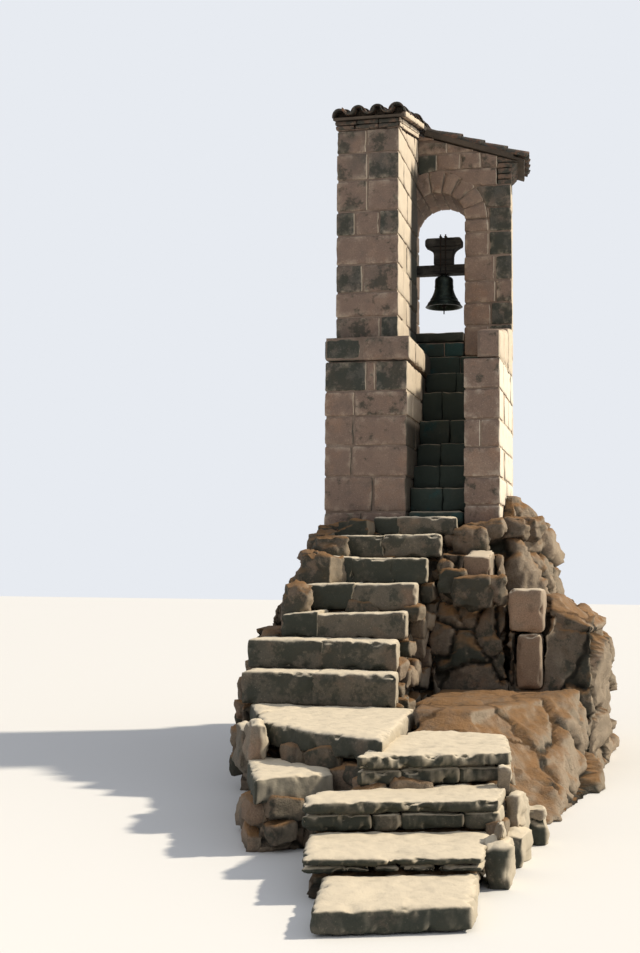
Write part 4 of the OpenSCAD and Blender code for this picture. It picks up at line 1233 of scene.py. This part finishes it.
# %% Face the stair's core with rubble
CORE = {"Block size": 0.3, "Crack depth": 0.02, "Block shift": 0.02, "Lumps": 0.02, "Roughness": 0.02}
for node, foot in (("lower_stair_core", ((0.385, -5.60), (1.273, -5.302))), ("upper_stair_core", None)):
    core = rock_piece(node + "_earth", node, 0.048, foot, **CORE)
    facing_stones = grow(node + "_rubble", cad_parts[node].data.copy(), FACING, {"Material": MOUND_STONE})
    settle(facing_stones, "root", "rubble_masonry")


# %% Set the single stones that stand beside the steps
def boulder_tree():
    tree, given = new_tree("boulder", {"Facets": 0.4})
    turn, size = named(tree, "turn", "FLOAT_VECTOR"), named(tree, "size", "FLOAT_VECTOR")
    return close_tree(stones_on(given, turn, size, 13, given["Facets"]), given["Material"])


BOULDER = boulder_tree()


def boulders(name, stones, material, facets=0.4):
    """Stones from their middle, size, turn about Z in degrees and tone."""
    places, sizes, turns, tones = zip(*stones)
    turns = [(luck.normal(0, 0.06), luck.normal(0, 0.06), math.radians(turn)) for turn in turns]
    carried = {"turn": turns, "size": sizes, "tone": tones, "number": luck.uniform(0, 90, len(stones))}
    values = {"Material": material, "Facets": facets}
    settle(grow(name, seed_mesh(name, places, marks=carried), BOULDER, values), "root", "rubble_masonry")


boulders("flank_stones", [
    ((1.262, -4.20, 0.43), (0.075, 0.10, 0.17), 6, 0.9), ((1.330, -4.25, 0.27), (0.085, 0.24, 0.19), -8, 0.9),
    ((1.312, -4.95, 0.28), (0.045, 0.12, 0.10), 10, 0.85), ((1.300, -4.98, 0.10), (0.12, 0.30, 0.22), 4, 0.3),
    ((1.345, -4.40, 0.08), (0.14, 0.36, 0.20), -6, 0.2), ((1.310, -4.03, 0.14), (0.14, 0.30, 0.26), 0, 0.3),
    ((1.405, -3.85, 0.20), (0.130, 0.17, 0.060), 20, 0.9), ((1.405, -3.83, 0.08), (0.14, 0.18, 0.19), 12, 0.1),
    ((-0.400, -3.76, 0.56), (0.10, 0.26, 0.24), 18, 0.85), ((-0.490, -3.60, 0.52), (0.10, 0.30, 0.26), 24, 0.8),
    ((-0.590, -3.40, 0.46), (0.13, 0.30, 0.28), 28, 0.6)], TREAD_STONE, 0.12)
boulders("crag_stones", [
    ((0.70, -0.99, 1.50), (0.36, 0.22, 0.26), 8, 0.4), ((0.52, -0.93, 1.58), (0.22, 0.20, 0.22), -15, 0.3),
    ((0.87, -0.95, 1.52), (0.20, 0.22, 0.24), 20, 0.45)], MOUND_STONE)
boulders("slope_stones", [
    ((-0.72, -1.46, 1.41), (0.24, 0.34, 0.30), 15, 0.45), ((-0.60, -1.10, 1.66), (0.30, 0.30, 0.30), -10, 0.30),
    ((-0.72, -0.90, 1.72), (0.22, 0.34, 0.24), 8, 0.50), ((-0.60, -0.70, 1.85), (0.30, 0.30, 0.26), 12, 0.35),
    ((-0.72, -0.45, 1.92), (0.22, 0.34, 0.22), -6, 0.50), ((-0.44, -0.36, 2.02), (0.30, 0.26, 0.22), -8, 0.25),
    ((-0.66, -0.22, 2.02), (0.32, 0.26, 0.18), 4, 0.40), ((0.70, -0.12, 2.05), (0.36, 0.26, 0.16), 0, 0.45),
    ((0.92, 0.12, 2.07), (0.26, 0.34, 0.20), 12, 0.5), ((1.02, 0.45, 2.09), (0.34, 0.40, 0.20), -8, 0.45),
    ((0.60, -0.32, 1.95), (0.30, 0.26, 0.24), 14, 0.4)], MOUND_STONE)

# %% [markdown]
# ## Roof tiles
# Both roofs carry old hand-made clay tiles: tapered half pipes, laid hollow side up as channels and hollow side
# down as covers, each course lapping the one below. A tree bends a small grid into one such tile, thickens it
# and puts it on every point of a seed mesh. The points carry each tile's turn, size and colour.

# %% Grow the tile tree
def tile_tree():
    tree, given = new_tree("clay_tile", {
        "Radius": 0.067, "Taper": 0.20, "Length": 0.32, "Thickness": 0.013, "Waviness": 0.008})
    place = field(tree, "Position")
    flat = xyz(place)
    angle = flat["X"] * (math.pi * 0.97)
    radius = given["Radius"] * (1.0 - (flat["Y"] + 0.5) * given["Taper"])
    bend = add(tree, "ShaderNodeCombineXYZ", {
        0: radius * calc("SINE", angle), 1: flat["Y"] * given["Length"], 2: radius * calc("COSINE", angle)})
    inner = place_at(add(tree, "GeometryNodeMeshGrid", {"Vertices X": 15, "Vertices Y": 7}), bend)
    thick = {"Mesh": inner, "Offset Scale": given["Thickness"], "Individual": False}
    both = add(tree, "GeometryNodeJoinGeometry", {0: add(tree, "GeometryNodeExtrudeMesh", thick, mode="FACES")})
    plug(both.socket.node.inputs[0], add(tree, "GeometryNodeFlipFaces", {0: inner}))
    tile = add(tree, "GeometryNodeMergeByDistance", {"Geometry": both, "Distance": 0.0004})
    laid = copies(given, tile, named(tree, "turn", "FLOAT_VECTOR"), named(tree, "size", "FLOAT_VECTOR"))
    wave = swing(place, 6.0, 3.0, 0.6, named(tree, "number")) * given["Waviness"]
    uneven = add(tree, "ShaderNodeCombineXYZ", {0: wave * 0.5, 2: wave})
    return close_tree(move(laid, uneven), given["Material"])


TILE = tile_tree()


# %% Make the clay finish
def clay(name, dark, mid, pale, lichen):
    material, place = start_finish(name)
    tone, number = marks(place, "tone", "number")
    cloudy, patch = noise(place, 7.0, 6.0, 0.65, number), noise(place, 16.0, 8.0, 0.7)
    grain, spots = noise(place, 150.0, 2.0, 0.6), noise(place, 42.0, 4.0, 0.6)
    shade = tone + (cloudy - 0.5) * 0.9
    body = mix(shade.spread(0.10, 0.50), dark, mid)
    body = mix(shade.spread(0.55, 1.0), body, pale)
    body = mix(grain.spread(0.55, 0.75, 0.0, 0.35), body, pale)
    body = mix((patch * 0.6 + cloudy * 0.4).spread(0.434, 0.534, 0.0, 0.92), body, lichen)
    body = mix(spots.spread(0.63, 0.70, 0.0, 0.55), body, (0.33, 0.31, 0.22))
    return end_finish(material, body, patch + grain * 0.3, 0.006, Roughness=cloudy.spread(0.3, 0.7, 0.75, 0.95))


ROOF_CLAY = clay("roof_clay", (0.042, 0.032, 0.027), (0.115, 0.066, 0.046), (0.24, 0.135, 0.085),
                 (0.050, 0.054, 0.048))
BRICK_CLAY = clay("brick_clay", (0.060, 0.042, 0.034), (0.150, 0.100, 0.074), (0.24, 0.165, 0.12),
                  (0.050, 0.052, 0.044))

# %% Lay tiles and their mortar beds on a slope
TILE_R, TILE_CROWN, TILE_SHOWN = 0.080, 0.138, 0.244
TILE_ROWS, RIDGE_R = 4, 0.060
IN_PLACE = Matrix.Identity(4)


def slope_frame(start, down, across):
    """A turn whose axes point across the rows, up the slope and out of the roof, and where it starts."""
    up_slope, across = -Vector(down).normalized(), Vector(across)
    return Matrix.Translation(start) @ Matrix((across, up_slope, across.cross(up_slope))).transposed().to_4x4()


def tile_seeds(slope, width, length, special):
    """Points with a turn, size, tone and number for the cover and channel tiles of one slope."""
    seeds = []
    step = (width - 2 * TILE_R) / (TILE_ROWS - 1)
    for course in range(math.ceil(length / TILE_SHOWN)):
        for row in np.arange(0, TILE_ROWS - 0.9, 0.5):
            cover = row == int(row)
            x = TILE_R + row * step + luck.normal(0, 0.004)
            y = -length + course * TILE_SHOWN + (0.172 if cover else 0.16)
            y += luck.normal(0, 0.006) * (course > 0)
            z = TILE_CROWN - TILE_R - 0.010 if cover else 0.110
            lean = Matrix.Rotation((-0.05 if cover else -0.03) + luck.normal(0, 0.010), 4, "X")
            yaw = Matrix.Rotation(luck.normal(0, 0.02), 4, "Z") @ Matrix.Rotation(luck.normal(0, 0.03), 4, "Y")
            if y > -0.10:
                continue
            flip = IN_PLACE if cover else Matrix.Rotation(math.pi, 4, "X")
            shift = special.get((course, row), IN_PLACE)
            place = slope @ Matrix.Translation((x, y, z)) @ shift @ lean @ yaw @ flip
            size = 1 + luck.normal(0, 0.02, 3) * [1, 0.6, 1]
            seeds.append((place.to_translation(), place.to_euler(), size, random_tone(), luck.uniform(0, 90)))
    return seeds


def bed_outline(width):
    """The mortar bed across the slope: low under the channels and a ridge under each row of covers."""
    step = (width - 2 * TILE_R) / (TILE_ROWS - 1)
    outline = [(0.006, 0.004), (width - 0.006, 0.004), (width - 0.006, 0.056)]
    for row in reversed(range(TILE_ROWS)):
        centre = TILE_R + row * step
        outline += [(centre + RIDGE_R * math.cos(a), 0.046 + RIDGE_R * math.sin(a))
                    for a in np.linspace(0, math.pi, 9)]
        if row:
            outline += [(centre - 0.066, 0.028), (centre - step + 0.066, 0.028)]
    return [*outline, (0.006, 0.056)]


def closed_piece(name, solid, material):
    """A piece from a bmesh, with its normals outwards."""
    bmesh.ops.recalc_face_normals(solid, faces=solid.faces)
    mesh = bpy.data.meshes.new(name)
    solid.to_mesh(mesh)
    solid.free()
    mesh.materials.append(material)
    return link(name, mesh)


def lay_roof(node, slope, width, length, special):
    """Tiles on one slope over a bed of mortar that is set back at the eave."""
    places, *values = zip(*tile_seeds(slope, width, length, special))
    carried = dict(zip(("turn", "size", "tone", "number"), map(np.array, values)))
    seed = seed_mesh(node, out_of_square(np.array(places)), marks=carried)
    settle(grow(node + "_tiles", seed, TILE, {"Material": ROOF_CLAY}), "root", "clay_tile", node)
    rings = [[slope @ Vector((x, y, min(z, most))) for x, z in bed_outline(width)]
             for y, most in ((-length + 0.030, 0.027), (-length + 0.150, 0.027), (-length + 0.165, 1), (0, 1))]
    solid = bmesh.new()
    solid.from_mesh(loft(node, [out_of_square(np.array(ring)) for ring in rings]))
    settle(closed_piece(node + "_bed", solid, BED_MORTAR), "root", "clay_tile")


# %% Lay both roofs
EAVES_H = 0.095
WALL_EAVE_X, WALL_EAVE_Z = 0.9915, 5.967
pier_tiles_low, pier_tiles_high = plan_box("pier_roof")
wall_tiles_low, wall_tiles_high = plan_box("wall_roof")
pier_eave_y = pier_tiles_low[1] + TILE_CROWN * math.sin(PIER_PITCH)
pier_length = (pier_tiles_high[1] - pier_eave_y) / math.cos(PIER_PITCH)
pier_width = pier_tiles_high[0] - pier_tiles_low[0]
pier_down = Vector((0, -math.cos(PIER_PITCH), -math.sin(PIER_PITCH)))
pier_eave = Vector((pier_tiles_low[0], pier_eave_y, pier_head(pier_eave_y) + EAVES_H))
pier_slope = slope_frame(pier_eave - pier_down * pier_length, pier_down, (1, 0, 0))
front_left = Matrix.Translation((-0.006, 0, -0.022)) @ Matrix.Rotation(-0.14, 4, "Y")
raised = Matrix.Translation((0, 0, 0.030)) @ Matrix.Rotation(-0.05, 4, "X")
lay_roof("pier_roof", pier_slope, pier_width, pier_length, {(0, 0.0): front_left, (5, 3.0): raised})

verge = box_corners([pier_width - 0.05, -pier_length + 0.10, 0.003], [pier_width + 0.004, -0.75, 0.062])
verge = np.array([pier_slope @ Vector(corner) for corner in verge.reshape(8, 3)]).reshape(2, 2, 2, 3)
stone_piece("pier_verge_mortar", [(verge, 0.9)], "rubble_masonry", joint=0.0, radius=0.02, cell=0.04)

wall_down = Vector((math.cos(WALL_PITCH), 0, -math.sin(WALL_PITCH)))
wall_length = (WALL_EAVE_X - wall_tiles_low[0]) / math.cos(WALL_PITCH)
wall_ridge = WALL_EAVE_Z + (wall_right - wall_tiles_low[0]) * math.tan(WALL_PITCH)
wall_slope = slope_frame((*wall_tiles_low[:2], wall_ridge), wall_down, (0, 1, 0))
lay_roof("wall_roof", wall_slope, wall_tiles_high[1] - wall_tiles_low[1], wall_length, {})

# %% [markdown]
# ## The eaves course and the corbel
# Thin fired slabs carry the pier's tiles, and brick courses with a hollow cove carry the eave of the bell wall.
# They are laid as blocks like the stones, only smaller and redder.

# %% Lay the slabs under the pier's tiles
course_low, course_high = plan_box("pier_eaves_course")
slabs, verge_slabs = [], []


def course_slab(x0, x1, near, far, drop, rise):
    """A thin slab that runs parallel to the pier's roof, between two depths under the tiles."""
    under = np.array([pier_head(max(y, pier_low[1])) + EAVES_H for y in (near, far)])
    return sloped([x0, near, 0], [x1, far, 1], under - rise, under - drop)


for layer, first in (((EAVES_H, 0.050), 0.30), ((0.050, 0.004), 0.25)):
    for near, far in pairs([course_low[1], *np.arange(first, 1.9, 0.235), course_high[1]]):
        x_cuts = [course_low[0], PIER_SPLIT, pier_right]
        if near == course_low[1]:
            x_cuts = even_cuts(course_low[0], pier_right, 0.24)
        slabs += [(course_slab(x0, x1, near, far, *layer), random_tone()) for x0, x1 in pairs(x_cuts)]
        if far <= wall_front + 0.3:
            far = min(far, wall_front)
            verge_slabs.append((course_slab(pier_right, course_high[0], near, far, *layer), 0.9))
stone_piece("pier_eaves_slabs", slabs, "red_clay_course", "pier_eaves_course", material=BRICK_CLAY, joint=0.008,
            radius=0.008, cell=0.04, Relief=0.006, Chips=0.012)
stone_piece("pier_verge_slabs", verge_slabs, "red_clay_course", joint=0.004, radius=0.008, cell=0.04,
            Relief=0.006, Chips=0.012)

# %% Lay the brick courses under the right eave
COVE_BOTTOM, COVE_TOP = 5.882, 5.937
bricks, brick_end = [], wall_right + 0.004
for k, (low, high) in enumerate(pairs(np.linspace(corbel_low[2], COVE_BOTTOM, 4))):
    for near, far in pairs(even_cuts(wall_front, wall_back, 0.23 if k % 2 else 0.30)):
        bricks.append((box_corners([corbel_x, near, low], [brick_end, far, high]), random_tone()))
for near, far in pairs(even_cuts(wall_front, wall_back, 0.25)):
    cove = box_corners([corbel_x, near, COVE_BOTTOM], [brick_end, far, COVE_TOP])
    cove[1, :, 1, 0] = corbel_high[0]
    bricks.append((cove, random_tone()))
    top = box_corners([corbel_x, near, COVE_TOP], [corbel_high[0], far, 0])
    top[0, :, 1, 2], top[1, :, 1, 2] = roof_line(corbel_x) - 0.002, roof_line(corbel_high[0]) - 0.002
    bricks.append((top, random_tone()))
stone_piece("corbel_bricks", bricks, "red_clay_course", "eave_corbel", material=BRICK_CLAY, joint=0.008,
            radius=0.008, cell=0.035, Relief=0.005, Chips=0.012)

# %% [markdown]
# ## Bell, yoke and iron
# The bell is a turned shape: a flared sound bow, a straight waist and a rounded shoulder, with raised rings.
# Its profile is a list of radii and heights turned around the axis. The yoke is old oak in three timbers. Iron
# staples, bars, pins and bearings keep their frame shapes and get a forged finish.

# %% Make the metal and oak finishes
def metal(name, dark, mid, crust, rust_share, metallic, roughness, scale):
    material, place = start_finish(name, roughness, metallic)
    cloudy, grain = noise(place, scale, 6.0, 0.65), noise(place, scale * 9, 3.0, 0.6)
    rust_from = 0.62 - rust_share * 0.3
    crusted = (grain * 0.5 + cloudy * 0.5).spread(rust_from, rust_from + 0.08)
    body = mix(crusted, mix(cloudy.spread(0.35, 0.65), dark, mid), crust)
    return end_finish(material, body, grain + cloudy, 0.003, Metallic=crusted.spread(0.0, 1.0, metallic, 0.1),
                      Roughness=crusted.spread(0.0, 1.0, roughness, 0.92))


def oak(name):
    material, place = start_finish(name, 0.85)
    fibre = noise(vector("MULTIPLY", place, (2.0, 26.0, 26.0)), 1.6, 6.0, 0.65)
    checks = noise(vector("MULTIPLY", place, (1.2, 40.0, 40.0)), 1.1, 2.0, 0.5)
    split = checks.spread(0.30, 0.38, 1.0, 0.0)
    body = mix(fibre.spread(0.35, 0.65), (0.016, 0.016, 0.015), (0.052, 0.047, 0.040))
    body = mix(noise(place, 5.0, 4.0, 0.6).spread(0.45, 0.75, 0.0, 0.6), body, (0.17, 0.155, 0.13))
    body = mix(split, body, (0.010, 0.009, 0.008))
    return end_finish(material, body, fibre - split * 0.8, 0.006)


BRONZE = metal("bell_patina", (0.018, 0.026, 0.024), (0.042, 0.050, 0.040), (0.050, 0.095, 0.080), 0.25, 0.75,
               0.45, 14.0)
IRON = metal("forged_iron", (0.014, 0.014, 0.014), (0.034, 0.030, 0.027), (0.065, 0.036, 0.022), 0.40, 0.65,
             0.60, 30.0)
OAK = oak("weathered_oak")
for node in ("bearing_left", "bearing_right", "gudgeons", "yoke_straps", "clapper"):
    iron_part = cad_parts[node].data
    iron_part.materials.clear()
    iron_part.materials.append(IRON)

# %% Turn the bell
BELL_H, BODY_H, MOUTH_R, WAIST_R = 0.352, 0.330, 0.200, 0.098
SHOULDER, WALL_T = 0.042, 0.013
BEADS = ((0.14, 0.0045), (0.155, 0.003), (0.27, 0.0045), (0.66, 0.0045), (0.70, 0.0035))
bell_low, bell_high = plan_box("bell")
BELL_X, BELL_Y = (bell_low[:2] + bell_high[:2]) / 2
lip = bell_low[2]


def flare(h):
    return max(0.0, 1 - h / (BELL_H * 0.625)) ** 1.6


def outside(h):
    return WAIST_R + (MOUTH_R - WAIST_R) * flare(h)


def rounding_arc(radius, height, angles):
    """The shoulder's arc in a profile, where the upright side ends at this radius and height."""
    return [(radius - SHOULDER + SHOULDER * math.cos(a), height + SHOULDER * math.sin(a)) for a in angles]


def bell_profile():
    """Radius and height from the inner lip over the outside and back along the inside to the axis."""
    line = [(MOUTH_R - 0.027, 0.0), (MOUTH_R - 0.020, 0.0), (MOUTH_R - 0.006, 0.0), (MOUTH_R - 0.001, 0.003)]
    for h in np.linspace(0.008, BODY_H - SHOULDER, 60):
        bead = sum(size * math.exp(-((h - share * BODY_H) / 0.0045) ** 2) for share, size in BEADS)
        line.append((outside(h) + bead, h))
    line += rounding_arc(WAIST_R, BODY_H - SHOULDER, np.linspace(0.15, math.pi / 2, 9))
    line += [(0.045, BODY_H), (0.0, BODY_H), (0.0, BODY_H - 0.026), (0.042, BODY_H - 0.026)]
    line += rounding_arc(WAIST_R - WALL_T, BODY_H - 0.068, np.linspace(math.pi / 2, 0.15, 7))
    return line + [(outside(h) - WALL_T - 0.014 * flare(h), h) for h in np.linspace(BODY_H - 0.068, 0.006, 26)]


def turned(profile, centre, segments=96):
    """Points and faces of a profile of radii and heights that is turned about an upright axis."""
    points, faces, count = [], [], len(profile)
    for k in range(segments):
        a = 2 * math.pi * k / segments
        points += [(centre[0] + r * math.cos(a), centre[1] + r * math.sin(a), centre[2] + h)
                   for r, h in profile]
        here, after = k * count, (k + 1) % segments * count
        faces += [(here + i, after + i, after + j, here + j) for i, j in pairs([*range(count), 0])]
    return points, faces


def cast_piece(name, parts):
    """One bronze piece from lists of points and faces, with doubles merged."""
    made = bmesh.new()
    for points, faces in parts:
        corners = [made.verts.new(p) for p in points]
        for face in faces:
            made.faces.new([corners[i] for i in face])
    bmesh.ops.remove_doubles(made, verts=made.verts, dist=1e-5)
    piece = closed_piece(name, made, BRONZE)
    piece.data.shade_smooth()
    return piece


BOX_FACES = (0, 1, 3, 2), (4, 6, 7, 5), (0, 4, 5, 1), (2, 3, 7, 6), (0, 2, 6, 4), (1, 5, 7, 3)


def bell_box(x0, x1, half_y, z0, z1):
    """A box on the bell's axis: X and half its depth from the axis, heights from the lip."""
    corners = box_corners([BELL_X + x0, BELL_Y - half_y, lip + z0], [BELL_X + x1, BELL_Y + half_y, lip + z1])
    return corners.reshape(8, 3), BOX_FACES


bell_cast = cast_piece("bell_casting", [turned(bell_profile(), (BELL_X, BELL_Y, lip))])
settle(bell_cast, "bell_on_yoke", "bell_bronze", "bell")
crown_boxes = [bell_box(-0.041, 0.041, 0.030, BODY_H - 0.002, BELL_H - 0.0155)]
for x0, x1 in ((-0.041, -0.035), (-0.019, 0.019), (0.035, 0.041)):
    crown_boxes.append(bell_box(x0, x1, 0.030, BELL_H - 0.017, BELL_H - 0.001))
for x in (-0.0185, 0.0185):
    crown_boxes.append(bell_box(x - 0.0045, x + 0.0045, 0.015, BODY_H - 0.072, BODY_H - 0.024))
bell_crown = cast_piece("bell_crown_and_lugs", crown_boxes)
rounding = bell_crown.modifiers.new("round", "BEVEL")
rounding.width, rounding.segments = 0.0025, 2
settle(bell_crown, "bell_on_yoke", "bell_bronze")

# %% Shape the yoke's timbers
AXIS_Z, YOKE_HALF_T, ARM_HALF = 4.9, 0.075, 0.0485
yoke_low, yoke_high = plan_box("headstock")
arm_left, arm_right = yoke_low[0] - BELL_X, yoke_high[0] - BELL_X
waist = [(0.103, 0.0495), *[(0.198 - 0.095 * math.cos(a), 0.151 + 0.095 * math.sin(a))
                            for a in np.linspace(0, math.pi / 2, 9)]]
arm = [(arm_left, -ARM_HALF), (arm_right, -ARM_HALF), (arm_right, ARM_HALF), (arm_left, ARM_HALF)]
head = [(0.186, 0.247), (0.198, 0.262), (0.198, 0.318), (0.176, 0.344)]
parts = []
for outline in (arm, [*waist, *[(-x, z) for x, z in waist[::-1]]],
                [(-0.186, 0.247), *head, *[(-x, z) for x, z in head[:0:-1]]]):
    faces = [[(BELL_X + x, BELL_Y + side * YOKE_HALF_T, AXIS_Z + z) for x, z in outline] for side in (-1, 1)]
    parts.append((*even_skin(loft("timber", faces), 0.0085), 0.5, 0.0, luck.uniform(0, 90)))
yoke = grow("yoke_timbers", seed_of_parts("yoke_timbers", parts), WEATHERING, {
    "Material": OAK, "Smoothing": 2, "Relief": 0.0015, "Relief scale": 9.0, "Grain": 0.0012,
    "Grain scale": 45.0, "Chips": 0.0})
settle(yoke, "bell_on_yoke", "weathered_oak", "headstock")
